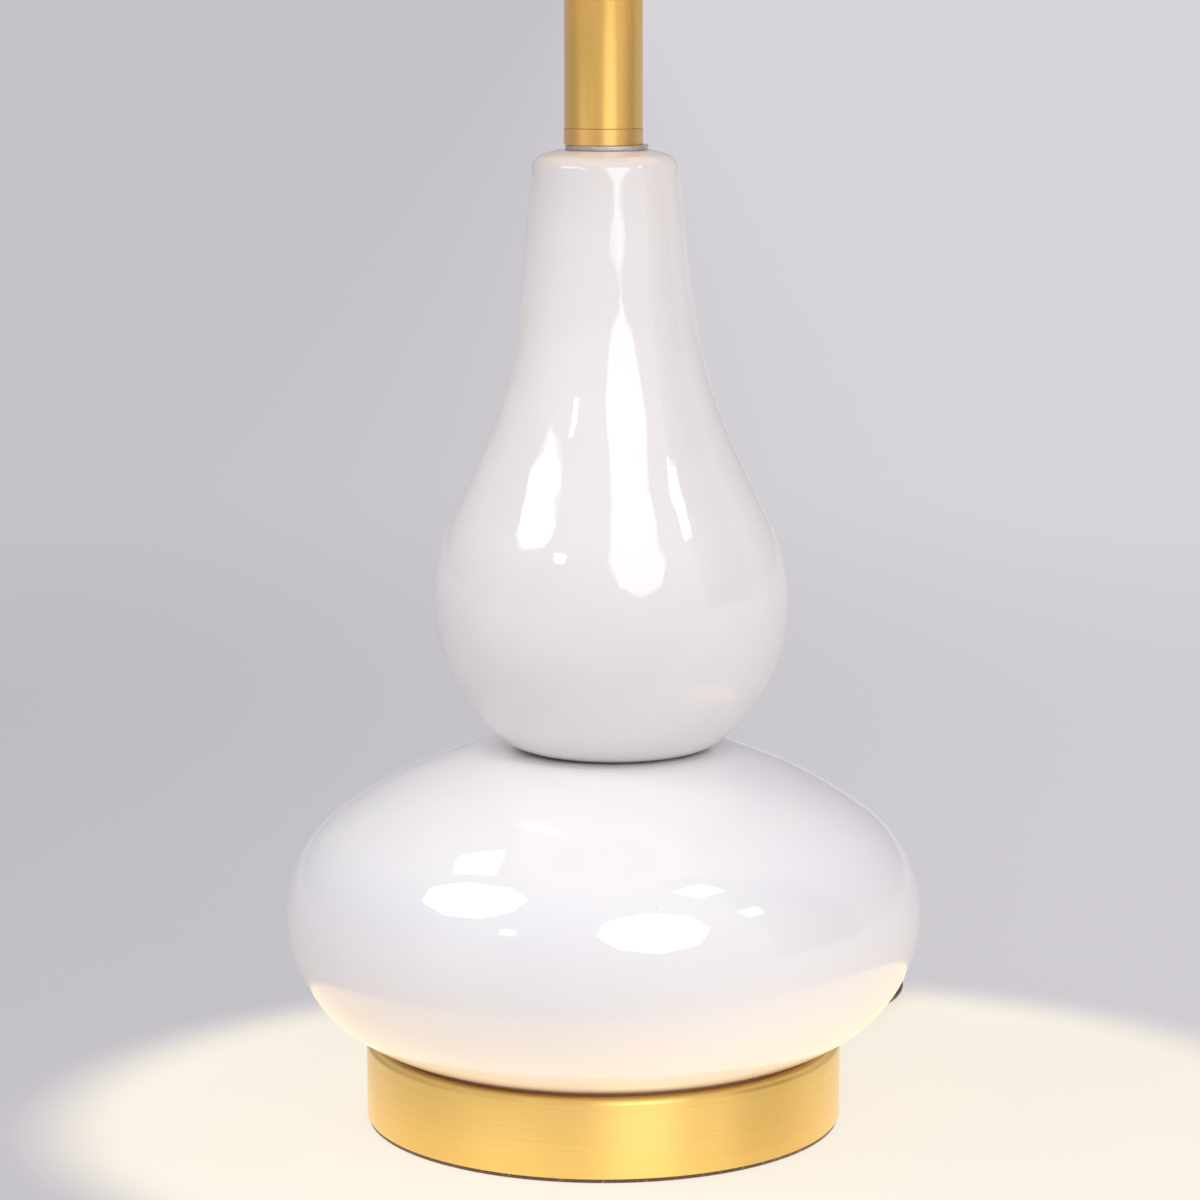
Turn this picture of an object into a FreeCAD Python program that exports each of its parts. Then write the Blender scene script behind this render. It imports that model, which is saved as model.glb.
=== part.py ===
import FreeCAD, Part
import math
import os
import Sketcher
from FreeCAD import Placement, Rotation, Vector

# A table lamp: two white glazed gourds, one standing on the other, on a spun brass drum base.
# A threaded pipe runs from the base to the socket and clamps the body, the neck tube and the harp.
# Millimetres. +Z is up, the origin is the centre of the felt pad's underside, -Y is the front.

DRIVING = {
    # Base
    "base_radius": 77.75,
    "base_height": 25.5,
    "base_wall": 1.2,
    "base_top_round": 2.0,
    "base_foot_round": 0.8,
    "felt_thickness": 1.2,
    "felt_inset": 1.2,
    "weight_web": 12.0,
    "weight_gap": 0.3,
    "weight_edge": 1.5,
    "weight_boss_radius": 17.0,
    "weight_bore_radius": 13.0,
    "weight_bore_depth": 17.3,
    "weight_slot": 14.0,
    # Pipe, nuts and washer
    "pipe_radius": 5.0,
    "pipe_bore": 3.6,
    "pipe_clearance": 0.4,
    "pipe_tail": 1.0,
    "pipe_engagement": 7.0,
    "thread_gap": 0.05,
    "base_nut_width": 16.0,
    "base_nut_height": 4.0,
    "nut_washer_radius": 10.0,
    "nut_washer_height": 1.2,
    "neck_nut_width": 15.0,
    "neck_nut_height": 3.0,
    # Lower gourd
    "lower_radius": 103.67,
    "lower_height": 96.7,
    "lower_belly_rise": 42.91,
    "lower_belly_round": 44.07,
    "lower_shoulder_round": 38.03,
    "lower_crown_round": 149.5,
    "lower_seat_round": 30.0,
    "lower_wall": 5.5,
    "gourd_bore": 8.0,
    # Upper gourd
    "upper_radius": 57.47,
    "upper_height": 193.2,
    "upper_belly_rise": 49.12,
    "upper_belly_round": 60.09,
    "upper_waist_rise": 171.2,
    "upper_waist_round": 192.03,
    "upper_neck_taper": 5.4,
    "upper_shoulder_round": 7.0,
    "upper_foot_radius": 29.0,
    "upper_foot_height": 1.0,
    "upper_wall": 4.5,
    "upper_shift": 1.7,
    # Neck
    "neck_washer_radius": 13.25,
    "neck_washer_height": 1.6,
    "neck_washer_shift": 1.0,
    "collar_radius": 12.6,
    "collar_height": 5.2,
    "collar_edge": 0.4,
    "spigot_height": 2.0,
    "spigot_gap": 0.1,
    "tube_radius": 12.5,
    "tube_wall": 1.0,
    "tube_length": 60.0,
    "tube_cap_height": 2.6,
    # Harp
    "saddle_thickness": 1.5,
    "saddle_width": 15.0,
    "saddle_reach": 28.0,
    "saddle_rise": 7.0,
    "saddle_bend": 4.0,
    "post_height": 4.0,
    "harp_wire": 2.0,
    "harp_foot_gap": 0.05,
    "harp_straight": 24.0,
    "harp_flare": 35.0,
    "harp_flare_round": 28.0,
    "harp_crown_round": 30.0,
    "harp_crown_half": 8.0,
    "harp_height": 177.0,
    "harp_pad_radius": 7.0,
    "harp_pad_depth": 4.0,
    "harp_pad_rise": 3.0,
    "stud_radius": 3.0,
    "stud_height": 12.0,
    "sleeve_gap": 0.1,
    "sleeve_radius": 3.6,
    "sleeve_height": 12.0,
    "sleeve_rim_radius": 4.4,
    "sleeve_rim_height": 1.5,
    # Socket
    "socket_cap_radius": 17.2,
    "socket_cap_wall": 0.7,
    "socket_cap_height": 18.0,
    "socket_cap_bend": 6.0,
    "socket_neck_radius": 7.5,
    "socket_neck_height": 4.0,
    "socket_overlap": 4.5,
    "socket_fit": 0.1,
    "shell_wall": 0.5,
    "shell_length": 43.0,
    "shell_bead_height": 1.6,
    "shell_bead_round": 1.0,
    "liner_wall": 0.6,
    "insulator_height": 20.0,
    "screw_shell_radius": 14.2,
    "screw_shell_wall": 0.4,
    "screw_shell_height": 20.0,
    "contact_radius": 4.0,
    "contact_height": 1.2,
    # Switch
    "shaft_radius": 2.0,
    "shaft_rise": 10.0,
    "shaft_gap": 0.1,
    "shaft_root": 6.0,
    "shaft_hole_gap": 0.6,
    "knob_radius": 5.5,
    "knob_grip": 0.5,
    "knob_length": 11.0,
    "knob_reach": 34.0,
    "knob_edge": 1.0,
    "knob_flare": 3.0,
    "knob_flutes": 12,
    "knob_flute_radius": 1.0,
    "knob_flute_depth": 0.45,
    # Bulb
    "bulb_radius": 30.0,
    "bulb_rise": 50.0,
    "bulb_neck_radius": 13.2,
    "bulb_neck_round": 30.0,
    "bulb_wall": 0.8,
    "bulb_cap_radius": 13.1,
    "bulb_cap_height": 20.0,
    "bulb_tip_radius": 4.5,
    "bulb_tip_height": 1.6,
    # Shade
    "shade_bottom_radius": 127.0,
    "shade_top_radius": 101.6,
    "shade_height": 190.5,
    "shade_wall": 1.0,
    "shade_recess": 12.0,
    "ring_wire": 1.6,
    "ring_gap": 0.2,
    "trim_height": 12.0,
    "trim_thickness": 0.6,
    "trim_gap": 0.1,
    "spider_washer_radius": 11.0,
    "spider_washer_height": 1.5,
    "spider_bend": 8.0,
    "spider_arms": 3,
    "spider_float": 0.1,
    # Finial
    "finial_flange_radius": 6.5,
    "finial_flange_height": 2.0,
    "finial_neck_radius": 4.6,
    "finial_ball_radius": 8.0,
    "finial_ball_rise": 13.0,
    # Cord, lead and plug
    "cord_radius": 3.0,
    "cord_azimuth": 52.0,
    "cord_exit_height": 7.0,
    "cord_floor_gap": 0.1,
    "cord_turn_gap": 0.5,
    "coil_inner_radius": 25.0,
    "lead_radius": 2.5,
    "lead_bend": 6.5,
    "relief_length": 30.0,
    "relief_root_radius": 5.4,
    "relief_tip_radius": 3.6,
    "relief_flange_radius": 6.5,
    "relief_flange_height": 2.0,
    "relief_neck_radius": 4.2,
    "relief_hole_radius": 4.5,
    "relief_lock_radius": 5.8,
    "relief_lock_height": 1.5,
    "relief_seat_gap": 0.05,
    "relief_grooves": 6,
    "relief_groove_width": 0.9,
    "relief_groove_pitch": 3.6,
    "relief_first_groove": 2.2,
    "relief_core_radius": 3.3,
    "plug_width": 24.0,
    "plug_height": 13.8,
    "plug_corner": 4.0,
    "plug_taper": 14.0,
    "plug_grip": 20.0,
    "plug_entry_radius": 4.2,
    "plug_grooves": 4,
    "plug_groove_width": 1.2,
    "plug_groove_depth": 0.6,
    "plug_groove_pitch": 3.6,
    "plug_first_groove": 3.0,
    "blade_length": 17.0,
    "blade_width": 6.35,
    "blade_thickness": 1.5,
    "blade_spacing": 12.7,
}

# The free cord from the strain relief to its coil, after the first run: places on the floor
# beside and behind the lamp, chosen by hand. The last point is where the coil begins.
CORD_ROUTE = [
    (86.0, 110.5, 4.6),
    (97.5, 125.5, 3.1),
    (107.0, 143.5, 3.1),
    (108.0, 163.5, 3.1),
    (99.5, 181.5, 3.1),
    (83.5, 193.5, 3.1),
    (64.0, 199.5, 3.1),
    (42.0, 201.0, 3.1),
    (26.0, 200.0, 3.1),
]
CORD_FIRST_RUN = 14.0
COIL_START = Vector(10.0, 200.0, 3.1)
COIL_TURNS_IN = 3.25
# An arc of the cord takes this share of the shorter run on each side of its corner.
BEND_SHARE = 0.45
# From the top of the coil to the plug: steps from the coil's end, the last one level.
TAIL_STEPS = [
    (-14.0, 0.0, 0.0),
    (-14.0, -0.7, -1.2),
    (-14.0, -0.9, -1.4),
    (-14.0, 0.0, 0.0),
]

doc = FreeCAD.newDocument("double_gourd_lamp")


class Size:
    """A number together with its formula on the sheet of driving dimensions."""

    def __init__(self, value, formula):
        self.value = float(value)
        self.formula = formula

    def __add__(self, other):
        other = as_size(other)
        return Size(self.value + other.value, f"({self.formula} + {other.formula})")

    def __radd__(self, other):
        return as_size(other) + self

    def __sub__(self, other):
        other = as_size(other)
        return Size(self.value - other.value, f"({self.formula} - {other.formula})")

    def __rsub__(self, other):
        return as_size(other) - self

    def __mul__(self, other):
        other = as_size(other)
        return Size(self.value * other.value, f"({self.formula} * {other.formula})")

    def __rmul__(self, other):
        return as_size(other) * self

    def __truediv__(self, other):
        other = as_size(other)
        return Size(self.value / other.value, f"({self.formula} / {other.formula})")

    def __neg__(self):
        return Size(-self.value, f"(0 - {self.formula})")


def as_size(number):
    if isinstance(number, Size):
        return number
    if number < 0:
        return Size(number, f"(0 - {-number})")
    return Size(number, f"{number}")


def root(size):
    return Size(math.sqrt(size.value), f"sqrt({size.formula})")


def sine(size):
    return Size(math.sin(math.radians(size.value)), f"sin({size.formula})")


def cosine(size):
    return Size(math.cos(math.radians(size.value)), f"cos({size.formula})")


class Sheet:
    """Reads a driving dimension by its name."""

    def __getattr__(self, name):
        return Size(DRIVING[name], f"Sizes.{name}")


def fill_sheet():
    sheet = doc.addObject("Spreadsheet::Sheet", "Sizes")
    for row, (name, value) in enumerate(DRIVING.items(), start=1):
        sheet.set(f"A{row}", name)
        sheet.set(f"B{row}", str(value))
        sheet.setAlias(f"B{row}", name)
    doc.recompute()


fill_sheet()
s = Sheet()

# Levels, from the floor up
base_top = s.felt_thickness + s.base_height
gourd_seat = base_top + s.lower_height
gourd_top = gourd_seat + s.upper_height
collar_foot = gourd_top + s.neck_washer_height
tube_foot = collar_foot + s.collar_height
tube_top = tube_foot + s.tube_length
tube_cap_top = tube_top + s.tube_cap_height
saddle_foot = tube_cap_top + s.neck_nut_height
socket_foot = saddle_foot + s.saddle_thickness
shell_foot = socket_foot + s.socket_cap_height - s.socket_overlap
insulator_foot = shell_foot + s.shell_wall
insulator_top = insulator_foot + s.insulator_height
bulb_tip_foot = insulator_top + s.contact_height
bulb_cap_foot = bulb_tip_foot + s.bulb_tip_height
bulb_cap_top = bulb_cap_foot + s.bulb_cap_height
harp_crown = saddle_foot + s.harp_height
harp_pad_top = harp_crown + s.harp_pad_rise
spider_foot = harp_pad_top + s.spider_float
spider_top = spider_foot + s.spider_washer_height
shade_top = spider_top + s.shade_recess
shade_bottom = shade_top - s.shade_height
finial_foot = spider_top + s.spider_float
nut_ceiling = s.felt_thickness + s.weight_bore_depth
base_nut_foot = nut_ceiling - s.nut_washer_height - s.base_nut_height
pipe_foot = base_nut_foot - s.pipe_tail
pipe_hole = s.pipe_radius + s.pipe_clearance
thread_hole = s.pipe_radius + s.thread_gap
relief_tip = s.base_radius + s.relief_seat_gap + s.relief_length
shaft_height = insulator_foot + s.shaft_rise
shell_radius = s.socket_cap_radius - s.socket_cap_wall - s.socket_fit
liner_radius = shell_radius - s.shell_wall - s.socket_fit
insulator_radius = liner_radius - s.liner_wall - s.socket_fit


def new_body(label):
    body = doc.addObject("PartDesign::Body", label)
    body.Label = label
    return body


def origin_feature(body, role):
    for feature in body.Origin.OriginFeatures:
        if feature.Role == role:
            return feature
    raise ValueError(role)


def new_sketch(body, role, name, lift=None):
    sketch = body.newObject("Sketcher::SketchObject", name)
    sketch.AttachmentSupport = [(origin_feature(body, role), "")]
    sketch.MapMode = "FlatFace"
    if lift is not None:
        lift = as_size(lift)
        sketch.AttachmentOffset = Placement(Vector(0, 0, lift.value), Rotation())
        sketch.setExpression("AttachmentOffset.Base.z", lift.formula)
    return sketch


def pin(sketch, geometry, end, place):
    """Ties a point of a sketch to its place, on an axis where the coordinate is a plain zero."""
    for kind, axis, length in (("DistanceX", -2, place[0]), ("DistanceY", -1, place[1])):
        if not isinstance(length, Size) and length == 0:
            sketch.addConstraint(Sketcher.Constraint("PointOnObject", geometry, end, axis))
            continue
        length = as_size(length)
        tie = Sketcher.Constraint(kind, -1, 1, geometry, end, length.value)
        index = sketch.addConstraint(tie)
        sketch.setExpression(f"Constraints[{index}]", length.formula)


def arc_between(start, end, radius, turn):
    """The arc under a half circle from start to end that turns left (1) or right (-1)."""
    chord = end - start
    middle = (start + end) * 0.5
    left = Vector(-chord.y, chord.x, 0) / chord.Length
    rise = math.sqrt(radius ** 2 - (chord.Length / 2) ** 2)
    centre = middle + left * rise * turn
    first, last = (start, end) if turn > 0 else (end, start)
    begin = math.atan2(first.y - centre.y, first.x - centre.x)
    finish = math.atan2(last.y - centre.y, last.x - centre.x)
    if finish < begin:
        finish += 2 * math.pi
    return Part.ArcOfCircle(Part.Circle(centre, Vector(0, 0, 1), radius), begin, finish)


def trace(sketch, places, bows=None, closed=True):
    """Lines from place to place, with an arc (radius, turn) instead where bows names its start."""
    bows = bows or {}
    spots = [Vector(as_size(x).value, as_size(y).value, 0) for x, y in places]
    count = len(places) if closed else len(places) - 1
    offset = sketch.GeometryCount
    starts = []
    for index in range(count):
        start = spots[index]
        end = spots[(index + 1) % len(places)]
        if index in bows:
            radius, turn = bows[index]
            radius = as_size(radius)
            geometry = sketch.addGeometry(arc_between(start, end, radius.value, turn), False)
            tie = sketch.addConstraint(Sketcher.Constraint("Radius", geometry, radius.value))
            sketch.setExpression(f"Constraints[{tie}]", radius.formula)
            starts.append(1 if turn > 0 else 2)
        else:
            geometry = sketch.addGeometry(Part.LineSegment(start, end), False)
            starts.append(1)
        pin(sketch, geometry, starts[-1], places[index])
    for index in range(count if closed else count - 1):
        after = (index + 1) % count
        join = Sketcher.Constraint(
            "Coincident", offset + index, 3 - starts[index], offset + after, starts[after])
        sketch.addConstraint(join)
    if not closed:
        pin(sketch, offset + count - 1, 3 - starts[-1], places[-1])


def add_circle(sketch, radius, place=(0, 0)):
    radius = as_size(radius)
    centre = Vector(as_size(place[0]).value, as_size(place[1]).value, 0)
    circle = Part.Circle(centre, Vector(0, 0, 1), radius.value)
    geometry = sketch.addGeometry(circle, False)
    tie = sketch.addConstraint(Sketcher.Constraint("Radius", geometry, radius.value))
    sketch.setExpression(f"Constraints[{tie}]", radius.formula)
    pin(sketch, geometry, 3, place)


def turned(body, name, places, bows=None, role="XZ_Plane", axis="V_Axis"):
    """A revolved feature from a closed half section."""
    sketch = new_sketch(body, role, name + "_section")
    trace(sketch, places, bows)
    feature = body.newObject("PartDesign::Revolution", name)
    feature.Profile = sketch
    feature.ReferenceAxis = (sketch, [axis])
    feature.Angle = 360
    return feature


def lathe(label, places, bows=None, role="XZ_Plane", axis="V_Axis"):
    body = new_body(label)
    turned(body, label + "_turned", places, bows, role, axis)
    return body


def padded(body, name, sketch, length, both_ways=False):
    length = as_size(length)
    pad = body.newObject("PartDesign::Pad", name)
    pad.Profile = sketch
    pad.Length = length.value
    pad.setExpression("Length", length.formula)
    pad.Midplane = both_ways
    return pad


def cut(body, name, sketch, length, reverse=False, both_ways=False):
    """A pocket, checked to take material away."""
    doc.recompute()
    before = body.Shape.Volume
    length = as_size(length)
    pocket = body.newObject("PartDesign::Pocket", name)
    pocket.Profile = sketch
    pocket.Length = length.value
    pocket.setExpression("Length", length.formula)
    pocket.Reversed = reverse
    pocket.Midplane = both_ways
    doc.recompute()
    if not body.Shape.Volume < before:
        raise RuntimeError(f"{name} cuts nothing")
    return pocket


def row_of(body, name, feature, role, span, count):
    """Repeats a feature along one axis of its body, with the last one a span away."""
    pattern = body.newObject("PartDesign::LinearPattern", name)
    pattern.Originals = [feature]
    pattern.Direction = (origin_feature(body, role), [""])
    pattern.Length = span.value
    pattern.setExpression("Length", span.formula)
    pattern.Occurrences = round(count.value)
    pattern.setExpression("Occurrences", count.formula)
    body.Tip = pattern
    return pattern


def circle_of(body, name, feature, role, count):
    """Repeats a feature evenly round one axis of its body."""
    pattern = body.newObject("PartDesign::PolarPattern", name)
    pattern.Originals = [feature]
    pattern.Axis = (origin_feature(body, role), [""])
    pattern.Angle = 360
    pattern.Occurrences = round(count.value)
    pattern.setExpression("Occurrences", count.formula)
    body.Tip = pattern
    return pattern


def rounded(body, name, kind, size, radius, height):
    """Rounds or bevels the circular edges of the body that lie at a radius and a height."""
    doc.recompute()
    base = body.Tip
    names = []
    for index, edge in enumerate(base.Shape.Edges, start=1):
        curve = edge.Curve
        if not isinstance(curve, Part.Circle):
            continue
        level = abs(curve.Center.z - height.value) < 0.01
        if level and abs(curve.Radius - radius.value) < 0.05:
            names.append(f"Edge{index}")
    if not names:
        raise RuntimeError(f"{name} finds no edge")
    feature = body.newObject(f"PartDesign::{kind}", name)
    feature.Base = (base, names)
    target = "Radius" if kind == "Fillet" else "Size"
    setattr(feature, target, size.value)
    feature.setExpression(target, size.formula)
    return feature


def shift(body, x=None, y=None, z=None):
    """Moves a whole body by sizes of the sheet."""
    moves = {"x": x, "y": y, "z": z}
    numbers = [0 if move is None else as_size(move).value for move in moves.values()]
    body.Placement = Placement(Vector(*numbers), body.Placement.Rotation)
    for name, move in moves.items():
        if move is not None:
            body.setExpression(f"Placement.Base.{name}", as_size(move).formula)


def face_cord_exit(body):
    """Turns a body that was drawn along +X towards the side where the cord leaves the base."""
    turn = Rotation(Vector(0, 0, 1), s.cord_azimuth.value)
    body.Placement = Placement(body.Placement.Base, turn)
    body.setExpression("Placement.Rotation.Angle", s.cord_azimuth.formula)


def ring_section(inner, outer, foot, top):
    return [(inner, foot), (outer, foot), (outer, top), (inner, top)]


def hexagon(width):
    """Corners of a hexagon of the given width across its flats, with two flats along X."""
    half = width / 2
    side = width / math.sqrt(3)
    top = [(side, 0), (side / 2, half), (-side / 2, half)]
    return top + [(-x, -y) for x, y in top]


# Base


def make_felt_pad():
    edge = s.base_radius - s.felt_inset
    return lathe("felt_pad", [(0, 0), (edge, 0), (edge, s.felt_thickness), (0, s.felt_thickness)])


def make_base_shell():
    """A spun brass drum, open below, with the pipe hole on top and the cord hole in its side."""
    foot = s.felt_thickness
    under = base_top - s.base_wall
    inner = s.base_radius - s.base_wall
    bend = s.base_radius - s.base_top_round
    body = new_body("base_shell")
    turned(body, "base_shell_turned", [
        (inner, foot),
        (s.base_radius - s.base_foot_round, foot),
        (s.base_radius, foot + s.base_foot_round),
        (s.base_radius, base_top - s.base_top_round),
        (bend, base_top),
        (pipe_hole, base_top),
        (pipe_hole, under),
        (bend, under),
        (inner, base_top - s.base_top_round),
    ], {
        1: (s.base_foot_round, 1),
        3: (s.base_top_round, 1),
        7: (s.base_top_round - s.base_wall, -1),
    })
    hole = new_sketch(body, "YZ_Plane", "cord_hole_outline")
    add_circle(hole, s.relief_hole_radius, (0, s.cord_exit_height))
    cut(body, "cord_hole", hole, s.base_radius * 2, reverse=True)
    face_cord_exit(body)
    return body


def make_base_weight():
    """A cast weight: a disc, a boss up to the shell, a bore for the nut and a slot for the lead."""
    edge = s.base_radius - s.base_wall - s.weight_gap
    web_top = s.felt_thickness + s.weight_web
    boss_top = base_top - s.base_wall
    body = new_body("base_weight")
    turned(body, "base_weight_turned", [
        (pipe_hole, nut_ceiling),
        (s.weight_bore_radius, nut_ceiling),
        (s.weight_bore_radius, s.felt_thickness),
        (edge, s.felt_thickness),
        (edge, web_top - s.weight_edge),
        (edge - s.weight_edge, web_top),
        (s.weight_boss_radius, web_top),
        (s.weight_boss_radius, boss_top),
        (pipe_hole, boss_top),
    ])
    slot = new_sketch(body, "YZ_Plane", "lead_slot_outline")
    half = s.weight_slot / 2
    low = s.felt_thickness
    trace(slot, [(-half, low), (half, low), (half, web_top), (-half, web_top)])
    cut(body, "lead_slot", slot, s.base_radius, reverse=True)
    face_cord_exit(body)
    return body


def make_nut(label, width, height, foot):
    body = new_body(label)
    outline = new_sketch(body, "XY_Plane", label + "_outline", foot)
    trace(outline, hexagon(width))
    add_circle(outline, thread_hole)
    padded(body, label + "_pad", outline, height)
    return body


def make_nut_washer():
    foot = nut_ceiling - s.nut_washer_height
    return lathe("base_nut_washer", ring_section(pipe_hole, s.nut_washer_radius, foot, nut_ceiling))


def make_pipe():
    top = socket_foot + s.pipe_engagement
    return lathe("lamp_pipe", ring_section(s.pipe_bore, s.pipe_radius, pipe_foot, top))


# Gourds


def make_lower_gourd():
    """A flattened hollow ball: one arc below its widest line, two above, and a flat seat on top."""
    widest = base_top + s.lower_belly_rise
    low = s.lower_radius - s.lower_belly_round
    high = s.lower_radius - s.lower_shoulder_round
    spread = s.lower_crown_round - s.lower_shoulder_round
    drop = root(spread * spread - high * high)
    crown = widest - drop
    wall = s.lower_wall
    reach = s.lower_crown_round / spread
    inner_reach = (s.lower_crown_round - wall) / spread
    belly = s.lower_belly_round
    foot_radius = low + root(belly * belly - s.lower_belly_rise * s.lower_belly_rise)
    inner_belly = s.lower_belly_round - wall
    seat_rise = gourd_seat - crown
    seat_radius = root(s.lower_crown_round * s.lower_crown_round - seat_rise * seat_rise)
    ceiling = gourd_seat - wall
    inner_crown = s.lower_crown_round - wall
    ceiling_rise = ceiling - crown
    ceiling_radius = root(inner_crown * inner_crown - ceiling_rise * ceiling_rise)
    body = new_body("lower_gourd")
    turned(body, "lower_gourd_turned", [
        (s.gourd_bore, base_top),
        (foot_radius, base_top),
        (s.lower_radius, widest),
        (high * reach, crown + drop * reach),
        (seat_radius, gourd_seat),
        (s.gourd_bore, gourd_seat),
        (s.gourd_bore, ceiling),
        (ceiling_radius, ceiling),
        (high * inner_reach, crown + drop * inner_reach),
        (s.lower_radius - wall, widest),
        (low, widest - inner_belly),
        (s.gourd_bore, widest - inner_belly),
    ], {
        1: (s.lower_belly_round, 1),
        2: (s.lower_shoulder_round, 1),
        3: (s.lower_crown_round, 1),
        7: (inner_crown, -1),
        8: (s.lower_shoulder_round - wall, -1),
        9: (inner_belly, -1),
    })
    rounded(body, "seat_round", "Fillet", s.lower_seat_round, seat_radius, gourd_seat)
    return body


def make_upper_gourd():
    """A hollow pear: a round belly, a long drawn-in waist and a tapered neck with a soft shoulder."""
    wall = s.upper_wall
    widest = gourd_seat + s.upper_belly_rise
    belly = s.upper_radius - s.upper_belly_round
    waist = gourd_seat + s.upper_waist_rise
    both = s.upper_belly_round + s.upper_waist_round
    climb = waist - widest
    out = root(both * both - climb * climb)
    share = s.upper_belly_round / both
    inner_share = (s.upper_belly_round - wall) / both
    lean = cosine(s.upper_neck_taper)
    dip = sine(s.upper_neck_taper)
    inner_waist = s.upper_waist_round + wall
    neck_start = (belly + out - s.upper_waist_round * lean, waist - s.upper_waist_round * dip)
    inner_neck = (belly + out - inner_waist * lean, waist - inner_waist * dip)
    slope = dip / lean
    neck_radius = neck_start[0] - (gourd_top - neck_start[1]) * slope
    ceiling = gourd_top - wall
    ceiling_radius = inner_neck[0] - (ceiling - inner_neck[1]) * slope
    band = gourd_seat + s.upper_foot_height
    band_drop = widest - band
    band_radius = belly + root(s.upper_belly_round * s.upper_belly_round - band_drop * band_drop)
    floor = gourd_seat + wall
    inner_belly = s.upper_belly_round - wall
    floor_drop = widest - floor
    floor_radius = belly + root(inner_belly * inner_belly - floor_drop * floor_drop)
    body = new_body("upper_gourd")
    turned(body, "upper_gourd_turned", [
        (s.gourd_bore, gourd_seat),
        (s.upper_foot_radius, gourd_seat),
        (s.upper_foot_radius, band),
        (band_radius, band),
        (belly + out * share, widest + climb * share),
        neck_start,
        (neck_radius, gourd_top),
        (s.gourd_bore, gourd_top),
        (s.gourd_bore, ceiling),
        (ceiling_radius, ceiling),
        inner_neck,
        (belly + out * inner_share, widest + climb * inner_share),
        (floor_radius, floor),
        (s.gourd_bore, floor),
    ], {
        3: (s.upper_belly_round, 1),
        4: (s.upper_waist_round, -1),
        10: (inner_waist, 1),
        11: (inner_belly, -1),
    })
    rounded(body, "neck_shoulder", "Fillet", s.upper_shoulder_round, neck_radius, gourd_top)
    shift(body, x=s.upper_shift)
    return body


# Neck


def make_neck_washer():
    bore = pipe_hole + s.neck_washer_shift
    body = lathe("neck_washer", ring_section(bore, s.neck_washer_radius, gourd_top, collar_foot))
    shift(body, x=s.neck_washer_shift)
    return body


def make_neck_collar():
    """A turned ring with a spigot that centres the neck tube."""
    spigot = s.tube_radius - s.tube_wall - s.spigot_gap
    edge = s.collar_edge
    return lathe("neck_collar", [
        (pipe_hole, collar_foot),
        (s.collar_radius - edge, collar_foot),
        (s.collar_radius, collar_foot + edge),
        (s.collar_radius, tube_foot - edge),
        (s.collar_radius - edge, tube_foot),
        (spigot, tube_foot),
        (spigot, tube_foot + s.spigot_height),
        (pipe_hole, tube_foot + s.spigot_height),
    ])


def make_neck_tube():
    inner = s.tube_radius - s.tube_wall
    return lathe("neck_tube", ring_section(inner, s.tube_radius, tube_foot, tube_top))


def make_tube_cap():
    """A turned lid with a spigot that closes the neck tube."""
    spigot = s.tube_radius - s.tube_wall - s.spigot_gap
    edge = s.collar_edge
    return lathe("tube_cap", [
        (pipe_hole, tube_top - s.spigot_height),
        (spigot, tube_top - s.spigot_height),
        (spigot, tube_top),
        (s.tube_radius, tube_top),
        (s.tube_radius, tube_cap_top - edge),
        (s.tube_radius - edge, tube_cap_top),
        (pipe_hole, tube_cap_top),
    ])


# Harp


def make_harp_saddle():
    """A bent strip with a pipe hole, two uprights and a round post on each."""
    outer = s.saddle_reach + s.saddle_thickness / 2
    inner = s.saddle_reach - s.saddle_thickness / 2
    top = saddle_foot + s.saddle_rise
    bend = s.saddle_bend
    tight = s.saddle_bend - s.saddle_thickness
    body = new_body("harp_saddle")
    strip = new_sketch(body, "XZ_Plane", "saddle_strip")
    trace(strip, [
        (-outer + bend, saddle_foot),
        (outer - bend, saddle_foot),
        (outer, saddle_foot + bend),
        (outer, top),
        (inner, top),
        (inner, saddle_foot + bend),
        (inner - tight, socket_foot),
        (-inner + tight, socket_foot),
        (-inner, saddle_foot + bend),
        (-inner, top),
        (-outer, top),
        (-outer, saddle_foot + bend),
    ], {1: (bend, 1), 5: (tight, -1), 7: (tight, -1), 11: (bend, 1)})
    padded(body, "saddle_pad", strip, s.saddle_width, both_ways=True)
    posts = new_sketch(body, "XY_Plane", "saddle_posts", top)
    add_circle(posts, s.harp_wire, (s.saddle_reach, 0))
    add_circle(posts, s.harp_wire, (-s.saddle_reach, 0))
    padded(body, "saddle_post_pad", posts, s.post_height)
    hole = new_sketch(body, "XY_Plane", "saddle_hole", socket_foot)
    add_circle(hole, pipe_hole)
    cut(body, "saddle_hole_cut", hole, s.saddle_thickness)
    return body


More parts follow.
